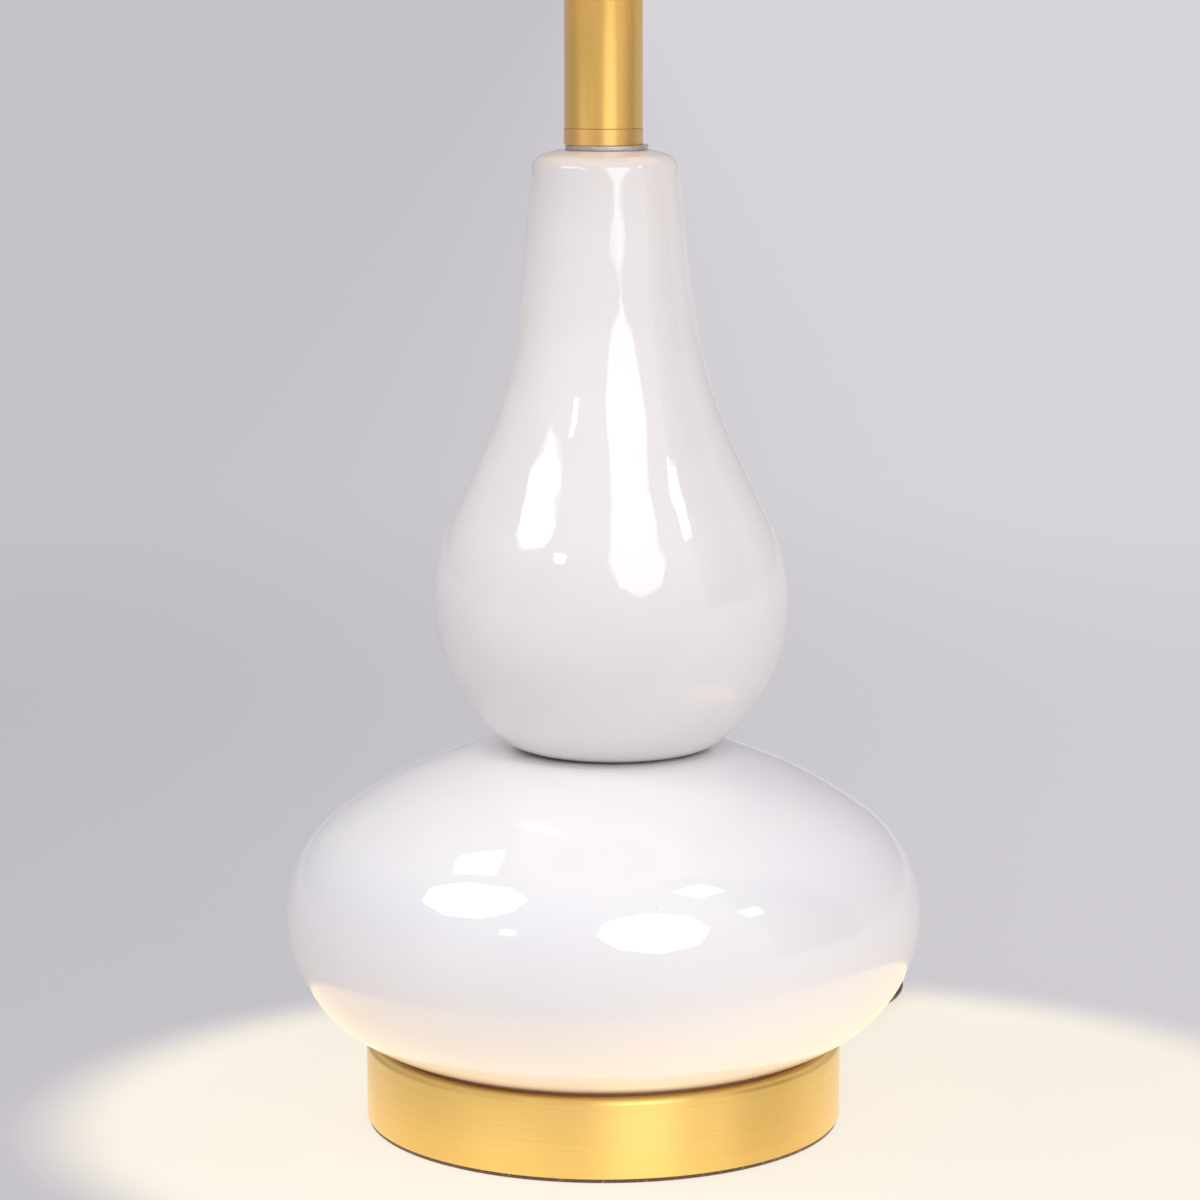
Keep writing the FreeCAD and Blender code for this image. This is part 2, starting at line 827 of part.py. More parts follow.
def make_harp():
    """A bow of round wire: two legs, two long bulging sides, a flat crown, a pad and a stud."""
    foot = saddle_foot + s.saddle_rise + s.post_height + s.harp_foot_gap
    leg_top = foot + s.harp_straight
    flare_cos = cosine(s.harp_flare)
    flare_sin = sine(s.harp_flare)
    bend = s.harp_flare_round
    flare = (s.saddle_reach + bend * (1 - flare_cos), leg_top + bend * flare_sin)
    crown = (s.harp_crown_half, harp_crown - s.harp_crown_round)
    across = flare[0] - crown[0]
    up = flare[1] - crown[1]
    aim = up * flare_sin - across * flare_cos
    crown_round = s.harp_crown_round
    side_round = (crown_round * crown_round - across * across - up * up) / (2 * (aim + crown_round))
    centre = (flare[0] - side_round * flare_cos, flare[1] + side_round * flare_sin)
    reach = crown_round / (side_round - crown_round)
    shoulder = (crown[0] + (crown[0] - centre[0]) * reach, crown[1] + (crown[1] - centre[1]) * reach)
    body = new_body("harp")
    path = new_sketch(body, "XZ_Plane", "harp_path")
    trace(path, [
        (s.saddle_reach, foot),
        (s.saddle_reach, leg_top),
        flare,
        shoulder,
        (s.harp_crown_half, harp_crown),
        (0, harp_crown),
    ], {1: (s.harp_flare_round, -1), 2: (side_round, 1), 3: (crown_round, 1)}, closed=False)
    section = new_sketch(body, "XY_Plane", "harp_wire_section", foot)
    add_circle(section, s.harp_wire, (s.saddle_reach, 0))
    side = body.newObject("PartDesign::AdditivePipe", "harp_side")
    side.Profile = section
    side.Spine = path
    doc.recompute()
    mirror = body.newObject("PartDesign::Mirrored", "harp_other_side")
    mirror.Originals = [side]
    mirror.MirrorPlane = (origin_feature(body, "YZ_Plane"), [""])
    body.Tip = mirror
    pad_foot = harp_pad_top - s.harp_pad_depth
    turned(body, "harp_pad_and_stud", [
        (0, pad_foot),
        (s.harp_pad_radius, pad_foot),
        (s.harp_pad_radius, harp_pad_top),
        (s.stud_radius, harp_pad_top),
        (s.stud_radius, harp_pad_top + s.stud_height),
        (0, harp_pad_top + s.stud_height),
    ])
    return body


def make_sleeve(label, side):
    """A tube with a rim that slides up the harp's leg to free it from its post."""
    foot = saddle_foot + s.saddle_rise + s.sleeve_gap
    bore = s.harp_wire + s.sleeve_gap
    body = lathe(label, [
        (bore, foot),
        (s.sleeve_rim_radius, foot),
        (s.sleeve_rim_radius, foot + s.sleeve_rim_height),
        (s.sleeve_radius, foot + s.sleeve_rim_height),
        (s.sleeve_radius, foot + s.sleeve_height),
        (bore, foot + s.sleeve_height),
    ])
    shift(body, x=s.saddle_reach * side)
    return body


# Socket


def make_socket_cap():
    """A drawn brass cup with a threaded neck."""
    wall = s.socket_cap_wall
    outer = s.socket_cap_radius
    bend = s.socket_cap_bend
    shoulder = socket_foot + s.socket_neck_height
    top = socket_foot + s.socket_cap_height
    return lathe("socket_cap", [
        (thread_hole, socket_foot),
        (s.socket_neck_radius, socket_foot),
        (s.socket_neck_radius, shoulder),
        (outer - bend, shoulder),
        (outer, shoulder + bend),
        (outer, top),
        (outer - wall, top),
        (outer - wall, shoulder + bend),
        (outer - bend, shoulder + wall),
        (thread_hole, shoulder + wall),
    ], {3: (bend, 1), 7: (bend - wall, -1)})


def make_socket_shell():
    """A thin brass tube with a rolled bead at its mouth and a hole for the switch shaft."""
    inner = shell_radius - s.shell_wall
    top = shell_foot + s.shell_length
    body = new_body("socket_shell")
    turned(body, "socket_shell_turned", [
        (inner, shell_foot),
        (shell_radius, shell_foot),
        (shell_radius, top - s.shell_bead_height),
        (shell_radius, top),
        (inner, top),
    ], {2: (s.shell_bead_round, 1)})
    hole = new_sketch(body, "XZ_Plane", "shaft_hole_outline")
    add_circle(hole, s.shaft_radius + s.shaft_hole_gap, (0, shaft_height))
    cut(body, "shaft_hole", hole, s.socket_cap_radius, reverse=True)
    return body


def make_socket_liner():
    """The paper sleeve between the shell and the live parts."""
    top = insulator_top + s.screw_shell_height
    body = new_body("socket_liner")
    inner = liner_radius - s.liner_wall
    turned(body, "socket_liner_turned", ring_section(inner, liner_radius, insulator_foot, top))
    hole = new_sketch(body, "XZ_Plane", "shaft_hole_outline")
    add_circle(hole, s.shaft_radius + s.shaft_hole_gap, (0, shaft_height))
    cut(body, "shaft_hole", hole, s.socket_cap_radius, reverse=True)
    return body


def make_switch_insulator():
    """The moulded switch body, with the hole that the shaft turns in."""
    body = new_body("switch_insulator")
    turned(body, "switch_insulator_turned", [
        (0, insulator_foot),
        (insulator_radius, insulator_foot),
        (insulator_radius, insulator_top),
        (0, insulator_top),
    ])
    hole = new_sketch(body, "XZ_Plane", "shaft_bore_outline", s.shaft_root - s.shaft_gap)
    add_circle(hole, s.shaft_radius + s.shaft_gap, (0, shaft_height))
    cut(body, "shaft_bore", hole, s.socket_cap_radius, reverse=True)
    return body


def make_screw_shell():
    top = insulator_top + s.screw_shell_height
    inner = s.screw_shell_radius - s.screw_shell_wall
    return lathe("socket_screw_shell", ring_section(inner, s.screw_shell_radius, insulator_top, top))


def make_socket_contact():
    top = insulator_top + s.contact_height
    edge = s.contact_radius
    return lathe("socket_contact", [(0, insulator_top), (edge, insulator_top), (edge, top), (0, top)])


def make_switch_shaft():
    reach = s.knob_reach - s.knob_length
    body = lathe("switch_shaft", [
        (-reach, 0),
        (-s.shaft_root, 0),
        (-s.shaft_root, s.shaft_radius),
        (-reach, s.shaft_radius),
    ], role="YZ_Plane", axis="H_Axis")
    shift(body, z=shaft_height)
    return body


def make_switch_knob():
    """A turn knob with a waist for two fingers and flutes along its grip."""
    back = s.knob_reach - s.knob_length
    waist = s.knob_radius - s.knob_grip
    edge = s.knob_edge
    body = lathe("switch_knob", [
        (-s.knob_reach, 0),
        (-back, 0),
        (-back, s.knob_radius - edge),
        (-back - edge, s.knob_radius),
        (-back - s.knob_flare, waist),
        (-s.knob_reach + s.knob_flare, waist),
        (-s.knob_reach + edge, s.knob_radius),
        (-s.knob_reach, s.knob_radius - edge),
    ], role="YZ_Plane", axis="H_Axis")
    flute = new_sketch(body, "XZ_Plane", "flute_outline")
    add_circle(flute, s.knob_flute_radius, (s.knob_radius + s.knob_flute_radius - s.knob_flute_depth, 0))
    first = cut(body, "flute", flute, s.knob_reach, reverse=True)
    circle_of(body, "flutes", first, "Y_Axis", s.knob_flutes)
    shift(body, z=shaft_height)
    return body


# Bulb


def make_bulb_glass():
    """A round bulb drawn in to its neck."""
    wall = s.bulb_wall
    globe = bulb_cap_top + s.bulb_rise
    neck = s.bulb_neck_radius
    flare = s.bulb_neck_round
    across = neck + flare
    apart = s.bulb_radius + flare
    fall = root(apart * apart - across * across)
    share = s.bulb_radius / apart
    inner_share = (s.bulb_radius - wall) / apart
    return lathe("bulb_glass", [
        (neck, bulb_cap_top),
        (neck, globe - fall),
        (across * share, globe - fall * share),
        (0, globe + s.bulb_radius),
        (0, globe + s.bulb_radius - wall),
        (across * inner_share, globe - fall * inner_share),
        (neck - wall, globe - fall),
        (neck - wall, bulb_cap_top),
    ], {
        1: (flare, -1),
        2: (s.bulb_radius, 1),
        4: (s.bulb_radius - wall, -1),
        5: (flare + wall, 1),
    })


def make_bulb_cap():
    taper = s.bulb_cap_radius - s.bulb_tip_radius
    return lathe("bulb_cap", [
        (0, bulb_cap_foot),
        (s.bulb_tip_radius, bulb_cap_foot),
        (s.bulb_cap_radius, bulb_cap_foot + taper / 2),
        (s.bulb_cap_radius, bulb_cap_top),
        (0, bulb_cap_top),
    ])


def make_bulb_tip():
    low = bulb_tip_foot
    high = bulb_cap_foot
    edge = s.bulb_tip_radius
    return lathe("bulb_tip", [(0, low), (edge, low), (edge, high), (0, high)])


# Shade


def shade_radius(height):
    """The cover's outer radius at a height."""
    slope = (s.shade_bottom_radius - s.shade_top_radius) / s.shade_height
    return s.shade_top_radius + (shade_top - height) * slope


def make_shade_cover():
    wall = s.shade_wall
    return lathe("shade_cover", [
        (s.shade_bottom_radius - wall, shade_bottom),
        (s.shade_bottom_radius, shade_bottom),
        (s.shade_top_radius, shade_top),
        (s.shade_top_radius - wall, shade_top),
    ])


def make_shade_trim(label, foot):
    """A band of the cover's cloth round one end."""
    top = foot + s.trim_height
    inner = s.trim_gap
    outer = s.trim_gap + s.trim_thickness
    return lathe(label, [
        (shade_radius(foot) + inner, foot),
        (shade_radius(foot) + outer, foot),
        (shade_radius(top) + outer, top),
        (shade_radius(top) + inner, top),
    ])


def add_wire_ring(body, name, radius, height):
    section = new_sketch(body, "XZ_Plane", name + "_section")
    add_circle(section, s.ring_wire, (radius, height))
    ring = body.newObject("PartDesign::Revolution", name)
    ring.Profile = section
    ring.ReferenceAxis = (section, ["V_Axis"])
    ring.Angle = 360
    return ring


def make_shade_bottom_ring():
    body = new_body("shade_bottom_ring")
    height = shade_bottom + s.ring_wire
    radius = shade_radius(height + s.ring_wire) - s.shade_wall - s.ring_gap - s.ring_wire
    add_wire_ring(body, "bottom_wire", radius, height)
    return body


def make_shade_spider():
    """The top wire ring, three bent arms and the washer that sits on the harp."""
    body = new_body("shade_spider")
    height = shade_top - s.ring_wire
    radius = s.shade_top_radius - s.shade_wall - s.ring_gap - s.ring_wire
    arm = spider_foot + s.ring_wire
    start = (s.spider_washer_radius + s.stud_radius) / 2
    path = new_sketch(body, "XZ_Plane", "arm_path")
    trace(path, [
        (start, arm),
        (radius - s.spider_bend, arm),
        (radius, arm + s.spider_bend),
        (radius, height),
    ], {1: (s.spider_bend, 1)}, closed=False)
    section = new_sketch(body, "YZ_Plane", "arm_section", start)
    add_circle(section, s.ring_wire, (0, arm))
    spoke = body.newObject("PartDesign::AdditivePipe", "arm")
    spoke.Profile = section
    spoke.Spine = path
    doc.recompute()
    circle_of(body, "arms", spoke, "Z_Axis", s.spider_arms)
    add_wire_ring(body, "top_wire", radius, height)
    bore = s.stud_radius + s.spider_float
    turned(body, "spider_washer", ring_section(bore, s.spider_washer_radius, spider_foot, spider_top))
    return body


def make_finial():
    """A turned ball on a waisted foot, with a blind bore for the stud."""
    bore = s.stud_radius + s.thread_gap
    roof = harp_pad_top + s.stud_height + s.pipe_clearance
    ball = finial_foot + s.finial_ball_rise
    neck = s.finial_neck_radius
    ball_foot = ball - root(s.finial_ball_radius * s.finial_ball_radius - neck * neck)
    flange_top = finial_foot + s.finial_flange_height
    return lathe("finial", [
        (bore, finial_foot),
        (s.finial_flange_radius, finial_foot),
        (s.finial_flange_radius, flange_top),
        (neck, flange_top + (s.finial_flange_radius - neck) / 2),
        (neck, ball_foot),
        (0, ball + s.finial_ball_radius),
        (0, roof),
        (bore, roof),
    ], {4: (s.finial_ball_radius, 1)})


# Cord


def make_strain_relief():
    """A tapered bush that snaps into the base, drawn along +X from the axis of the lamp."""
    seat = s.base_radius + s.relief_seat_gap
    wall = s.base_radius - s.base_wall
    lock = root(wall * wall - s.relief_lock_radius * s.relief_lock_radius) - s.relief_seat_gap
    body = lathe("strain_relief", [
        (lock - s.relief_lock_height, 0),
        (relief_tip, 0),
        (relief_tip, s.relief_tip_radius),
        (seat + s.relief_flange_height, s.relief_root_radius),
        (seat + s.relief_flange_height, s.relief_flange_radius),
        (seat, s.relief_flange_radius),
        (seat, s.relief_neck_radius),
        (lock, s.relief_neck_radius),
        (lock, s.relief_lock_radius),
        (lock - s.relief_lock_height, s.relief_lock_radius),
    ], axis="H_Axis")
    near = seat + s.relief_flange_height + s.relief_first_groove
    far = near + s.relief_groove_width
    ring = new_sketch(body, "XZ_Plane", "groove_section")
    trace(ring, [
        (near, s.relief_core_radius),
        (far, s.relief_core_radius),
        (far, s.relief_flange_radius),
        (near, s.relief_flange_radius),
    ])
    groove = body.newObject("PartDesign::Groove", "bend_groove")
    groove.Profile = ring
    groove.ReferenceAxis = (ring, ["H_Axis"])
    groove.Angle = 360
    doc.recompute()
    row_of(body, "bend_grooves", groove, "X_Axis",
           s.relief_groove_pitch * (s.relief_grooves - 1), s.relief_grooves)
    shift(body, z=s.cord_exit_height)
    face_cord_exit(body)
    return body


def make_lead():
    """The sheathed lead from the strain relief, under the nut and up the pipe to the socket."""
    wall = s.base_radius - s.base_wall
    lock = root(wall * wall - s.relief_lock_radius * s.relief_lock_radius) - s.relief_seat_gap
    start = lock - s.relief_lock_height
    body = new_body("lamp_lead")
    path = new_sketch(body, "XZ_Plane", "lead_path")
    trace(path, [
        (start, s.cord_exit_height),
        (s.lead_bend, s.cord_exit_height),
        (0, s.cord_exit_height + s.lead_bend),
        (0, insulator_foot),
    ], {1: (s.lead_bend, -1)}, closed=False)
    section = new_sketch(body, "YZ_Plane", "lead_section", start)
    add_circle(section, s.lead_radius, (0, s.cord_exit_height))
    pipe = body.newObject("PartDesign::AdditivePipe", "lead_sheath")
    pipe.Profile = section
    pipe.Spine = path
    face_cord_exit(body)
    return body


def rounded_runs(label, points):
    """Straight runs joined by tangent arcs, each as large as its two runs allow."""
    edges = []
    radii = []
    here = points[0]
    for before, corner, after in zip(points, points[1:], points[2:]):
        come = (corner - before).normalize()
        leave = (after - corner).normalize()
        half_turn = come.getAngle(leave) / 2
        trim = BEND_SHARE * min((corner - before).Length, (after - corner).Length)
        radius = trim / math.tan(half_turn)
        radii.append(radius)
        start = corner - come * trim
        end = corner + leave * trim
        inward = (leave - come).normalize()
        middle = corner + inward * (math.hypot(radius, trim) - radius)
        edges.append(Part.LineSegment(here, start).toShape())
        edges.append(Part.Arc(start, middle, end).toShape())
        here = end
    edges.append(Part.LineSegment(here, points[-1]).toShape())
    print(label, "bend radii", [round(radius, 1) for radius in radii])
    return edges


def tube(label, edges, radius):
    """A round tube along a path of joined edges."""
    path = Part.Wire(edges)
    start = edges[0].valueAt(edges[0].FirstParameter)
    along = edges[0].tangentAt(edges[0].FirstParameter)
    section = Part.Wire([Part.Circle(start, along, radius).toShape()])
    shape = path.makePipeShell([section], True, False)
    expected = math.pi * radius ** 2 * path.Length
    print(label, "length", round(path.Length, 1), "volume ratio", round(shape.Volume / expected, 5))
    return shape


def show(label, shape):
    piece = doc.addObject("Part::Feature", label)
    piece.Label = label
    piece.Shape = shape
    return piece


def coil_pitch():
    return 2 * DRIVING["cord_radius"] + DRIVING["cord_turn_gap"]


def coil_place(angle):
    """A point of the coil's centre line: in on the floor, up a layer in a half turn, and out."""
    pitch = coil_pitch()
    inner = DRIVING["coil_inner_radius"]
    way_in = COIL_TURNS_IN * 2 * math.pi
    outer = inner + COIL_TURNS_IN * pitch
    if angle <= way_in:
        radius = outer - pitch * angle / (2 * math.pi)
        lift = 0.0
    elif angle < way_in + math.pi:
        climb = (angle - way_in) / math.pi
        radius = inner - pitch / (2 * math.pi) * math.sin(angle - way_in)
        lift = pitch * climb ** 2 * (3 - 2 * climb)
    else:
        radius = inner + pitch * (angle - way_in - math.pi) / (2 * math.pi)
        lift = pitch
    centre = COIL_START - Vector(0, outer, 0)
    around = angle + math.pi / 2
    return centre + Vector(radius * math.cos(around), radius * math.sin(around), lift)


def joined_arcs(start, start_way, end, end_way):
    """Two arcs that leave start and reach end along the given directions."""
    chord = end - start
    ways = start_way + end_way
    along = chord.dot(ways)
    bend = 2 * (1 - start_way.dot(end_way))
    reach = (math.sqrt(along ** 2 + bend * chord.dot(chord)) - along) / bend
    middle = (start + end + (start_way - end_way) * reach) * 0.5
    edges = []
    for first, way, last in ((start, start_way, middle), (end, end_way * -1, middle)):
        span = last - first
        side = (span - way * span.dot(way)).normalize()
        radius = span.dot(span) / (2 * span.dot(side))
        centre = first + side * radius
        outward = (first + last) * 0.5 - centre
        edges.append(Part.Arc(first, centre + outward.normalize() * radius, last).toShape())
    flipped = Part.Arc(middle, edges[1].valueAt(
        (edges[1].FirstParameter + edges[1].LastParameter) / 2), end).toShape()
    return [edges[0], flipped]


def coil_edges():
    """Quarter turns of the coil, with a straight end of one diameter at each end."""
    quarter = math.pi / 2
    total = COIL_TURNS_IN * 4 * math.pi + math.pi
    count = round(total / quarter)
    places = [coil_place(quarter * index) for index in range(count + 1)]
    ways = []
    small = 0.001
    for index in range(count + 1):
        near = coil_place(quarter * index - small)
        far = coil_place(quarter * index + small)
        ways.append((far - near).normalize())
    ways[0] = Vector(-1, 0, 0)
    ways[-1] = Vector(-1, 0, 0)
    straight = Vector(2 * DRIVING["cord_radius"], 0, 0)
    edges = [Part.LineSegment(places[0] + straight, places[0]).toShape()]
    for index in range(count):
        edges += joined_arcs(places[index], ways[index], places[index + 1], ways[index + 1])
    edges.append(Part.LineSegment(places[-1], places[-1] - straight).toShape())
    return edges


def least_gap(edges, diameter):
    """The narrowest space between stretches of a wound tube, measured on points a step apart."""
    points = []
    same_stretch = 5 * diameter
    travelled = 0.0
    for edge in edges:
        count = max(2, round(edge.Length))
        for index in range(count):
            share = index / count
            parameter = edge.FirstParameter + (edge.LastParameter - edge.FirstParameter) * share
            points.append((travelled + edge.Length * share, edge.valueAt(parameter)))
        travelled += edge.Length
    least = math.inf
    for index, (place, point) in enumerate(points):
        for other_place, other in points[index + 1:]:
            if other_place - place > same_stretch:
                least = min(least, point.distanceToPoint(other))
    return least - diameter


def make_cord():
    azimuth = math.radians(DRIVING["cord_azimuth"])
    way = Vector(math.cos(azimuth), math.sin(azimuth), 0)
    start = way * relief_tip.value + Vector(0, 0, DRIVING["cord_exit_height"])
    straight = Vector(2 * DRIVING["cord_radius"], 0, 0)
    points = [start, start + way * CORD_FIRST_RUN]
    points += [Vector(*place) for place in CORD_ROUTE]
    points.append(COIL_START + straight)
    return show("cord", tube("cord", rounded_runs("cord", points), DRIVING["cord_radius"]))


def make_cord_coil():
    edges = coil_edges()
    print("coil least gap", round(least_gap(edges, 2 * DRIVING["cord_radius"]), 3))
    return show("cord_coil", tube("cord_coil", edges, DRIVING["cord_radius"]))


def tail_points():
    points = [COIL_START + Vector(-2 * DRIVING["cord_radius"], 0, coil_pitch())]
    for step in TAIL_STEPS:
        points.append(points[-1] + Vector(*step))
    return points


def make_cord_tail():
    edges = rounded_runs("cord_tail", tail_points())
    return show("cord_tail", tube("cord_tail", edges, DRIVING["cord_radius"]))


def rounded_rectangle(width, height, corner):
    """Corners and bows of a rectangle with rounded corners, centred on the origin."""
    x = width / 2
    y = height / 2
    places = [
        (x, y - corner), (x - corner, y), (-x + corner, y), (-x, y - corner),
        (-x, -y + corner), (-x + corner, -y), (x - corner, -y), (x, -y + corner),
    ]
    return places, {0: (corner, 1), 2: (corner, 1), 4: (corner, 1), 6: (corner, 1)}


def make_plug():
    """A moulded plug lying on the floor: a round entry that swells to a flat grip."""
    body = new_body("plug_body")
    entry = new_sketch(body, "YZ_Plane", "plug_entry")
    add_circle(entry, s.plug_entry_radius)
    swell = new_sketch(body, "YZ_Plane", "plug_swell", -s.plug_taper)
    places, bows = rounded_rectangle(s.plug_width, s.plug_height, s.plug_corner)
    trace(swell, places, bows)
    loft = body.newObject("PartDesign::AdditiveLoft", "plug_taper_loft")
    loft.Profile = entry
    loft.Sections = [swell]
    doc.recompute()
    grip = new_sketch(body, "YZ_Plane", "plug_grip_outline", -s.plug_taper - s.plug_grip)
    trace(grip, places, bows)
    padded(body, "plug_grip_pad", grip, s.plug_grip)
    slot = new_sketch(body, "XZ_Plane", "finger_groove_outline")
    far = -s.plug_taper - s.plug_grip + s.plug_first_groove
    near = far + s.plug_groove_width
    floor = s.plug_height / 2 - s.plug_groove_depth
    trace(slot, [(far, floor), (near, floor), (near, s.plug_height), (far, s.plug_height)])
    trace(slot, [(far, -s.plug_height), (near, -s.plug_height), (near, -floor), (far, -floor)])
    first = cut(body, "finger_groove", slot, s.plug_width, both_ways=True)
    row_of(body, "finger_grooves", first, "X_Axis",
           s.plug_groove_pitch * (s.plug_grooves - 1), s.plug_grooves)
    end = tail_points()[-1]
    body.Placement = Placement(end, Rotation())
    return body


def make_plug_blades():
    """Two flat blades, flush with the plug's face."""
    end = tail_points()[-1]
    face = end.x - DRIVING["plug_taper"] - DRIVING["plug_grip"]
    blades = []
    for side in (-1, 1):
        blade = doc.addObject("Part::Box", "blade_left" if side < 0 else "blade_right")
        blade.setExpression("Length", s.blade_length.formula)
        blade.setExpression("Width", s.blade_thickness.formula)
        blade.setExpression("Height", s.blade_width.formula)
        middle = end.y + side * DRIVING["blade_spacing"] / 2
        corner = Vector(face - DRIVING["blade_length"], middle - DRIVING["blade_thickness"] / 2,
                        end.z - DRIVING["blade_width"] / 2)
        blade.Placement = Placement(corner, Rotation())
        blades.append(blade)
    pair = doc.addObject("Part::Compound", "plug_blades")
    pair.Label = "plug_blades"
    pair.Links = blades
    return pair


pieces = [
    make_felt_pad(),
    make_base_shell(),
    make_base_weight(),
    make_nut("base_nut", s.base_nut_width, s.base_nut_height, base_nut_foot),
    make_nut_washer(),
    make_pipe(),
    make_lower_gourd(),
    make_upper_gourd(),
    make_neck_washer(),
    make_neck_collar(),
    make_neck_tube(),
    make_tube_cap(),
    make_nut("neck_nut", s.neck_nut_width, s.neck_nut_height, tube_cap_top),
    make_harp_saddle(),
    make_harp(),
    make_sleeve("harp_sleeve_left", -1),
    make_sleeve("harp_sleeve_right", 1),
    make_socket_cap(),
    make_socket_shell(),
    make_socket_liner(),
    make_switch_insulator(),
    make_screw_shell(),
    make_socket_contact(),
    make_switch_shaft(),
    make_switch_knob(),
    make_bulb_glass(),
    make_bulb_cap(),
    make_bulb_tip(),
    make_shade_cover(),
    make_shade_trim("shade_trim_top", shade_top - s.trim_height),
    make_shade_trim("shade_trim_bottom", shade_bottom),
    make_shade_spider(),
    make_shade_bottom_ring(),
    make_finial(),
    make_strain_relief(),
    make_lead(),
    make_cord(),
    make_cord_coil(),
    make_cord_tail(),
    make_plug(),
    make_plug_blades(),
]
doc.recompute()

for item in doc.Objects:
    if "Invalid" in item.State or "Error" in item.State:
        raise RuntimeError(f"{item.Name} failed: {item.State}")
for piece in pieces:
    if piece.Shape.isNull() or not piece.Shape.isValid() or not piece.Shape.Solids:
        raise RuntimeError(f"{piece.Label} has no sound solid")

os.makedirs("parts", exist_ok=True)
for piece in pieces:
    piece.Shape.exportStep(f"parts/{piece.Label}.step")
print(len(pieces), "nodes written")
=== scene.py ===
import math

import bmesh
import bpy
from mathutils import Matrix, Quaternion, Vector


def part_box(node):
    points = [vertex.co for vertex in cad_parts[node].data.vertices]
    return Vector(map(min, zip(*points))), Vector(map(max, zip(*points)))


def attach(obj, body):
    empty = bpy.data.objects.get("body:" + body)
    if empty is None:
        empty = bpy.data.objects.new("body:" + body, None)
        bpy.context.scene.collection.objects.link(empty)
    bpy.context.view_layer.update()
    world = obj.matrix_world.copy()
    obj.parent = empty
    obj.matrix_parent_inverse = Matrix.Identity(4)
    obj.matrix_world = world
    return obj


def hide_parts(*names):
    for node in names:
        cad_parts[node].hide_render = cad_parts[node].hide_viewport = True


# A double gourd table lamp. Lengths are in millimetres until a mesh is made, +Z is up and the
# front faces -Y. The origin is on the table, under the middle of the felt pad.

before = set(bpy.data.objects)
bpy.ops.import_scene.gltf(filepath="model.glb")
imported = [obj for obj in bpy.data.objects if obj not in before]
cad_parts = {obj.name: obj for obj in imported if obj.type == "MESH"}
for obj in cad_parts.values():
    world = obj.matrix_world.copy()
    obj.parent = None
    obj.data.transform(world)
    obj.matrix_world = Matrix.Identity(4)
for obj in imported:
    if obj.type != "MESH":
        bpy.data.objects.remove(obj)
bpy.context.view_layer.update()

MM = 0.001
UP = Vector((0, 0, 1))


def put(thing, name):
    """Adds an object for this mesh, curve, lamp or camera."""
    item = bpy.data.objects.new(name, thing)
    bpy.context.scene.collection.objects.link(item)
    return item


# Camera


def place_camera():
    """The photograph's long lens, just left of the lamp's middle and tilted down."""
    camera = put(bpy.data.cameras.new("camera"), "camera")
    camera.data.sensor_width = 36
    camera.data.lens = 120
    camera.data.clip_end = 200
    camera.location = (-0.0011, -1.2773, 0.3822)
    downward = 9.369
    camera.rotation_euler = (math.radians(90 - downward), 0, 0)
    bpy.context.scene.camera = camera


place_camera()


# Materials


class Signal:
    """A value inside a node tree, so that sums can be written as Python sums."""

    def __init__(self, graph, socket):
        self.graph = graph
        self.socket = socket

    def sum(self, operation, *others):
        values = dict(enumerate((self, *others)))
        return self.graph.node("ShaderNodeMath", {"operation": operation}, values)

    def __add__(self, other):
        return self.sum("ADD", other)

    def __sub__(self, other):
        return self.sum("SUBTRACT", other)

    def __mul__(self, other):
        return self.sum("MULTIPLY", other)

    def __truediv__(self, other):
        return self.sum("DIVIDE", other)

    def __rsub__(self, other):
        return (self * -1).sum("ADD", other)

    __radd__ = __add__
    __rmul__ = __mul__

    def sine(self):
        return self.sum("SINE")

    def size(self):
        return self.sum("ABSOLUTE")

    def over(self, edge):
        return self.sum("GREATER_THAN", edge)

    def ease(self, low, high, start=0.0, end=1.0):
        """Goes smoothly from start to end as the value goes from low to high."""
        values = {0: self, 1: low, 2: high, 3: start, 4: end}
        return self.graph.node("ShaderNodeMapRange", {"interpolation_type": "SMOOTHSTEP"}, values)


class Graph:
    """The node tree of a material, a light or the world."""

    def __init__(self, tree):
        self.tree = tree

    def feed(self, slot, value):
        if isinstance(value, Signal):
            self.tree.links.new(value.socket, slot)
        else:
            slot.default_value = value

    def node(self, kind, settings=None, values=None, output=0):
        """Adds a node: its settings first, then the values or links of its sockets."""
        node = self.tree.nodes.new(kind)
        for name, value in (settings or {}).items():
            setattr(node, name, value)
        for name, value in (values or {}).items():
            self.feed(node.inputs[name], value)
        return Signal(self, node.outputs[output])


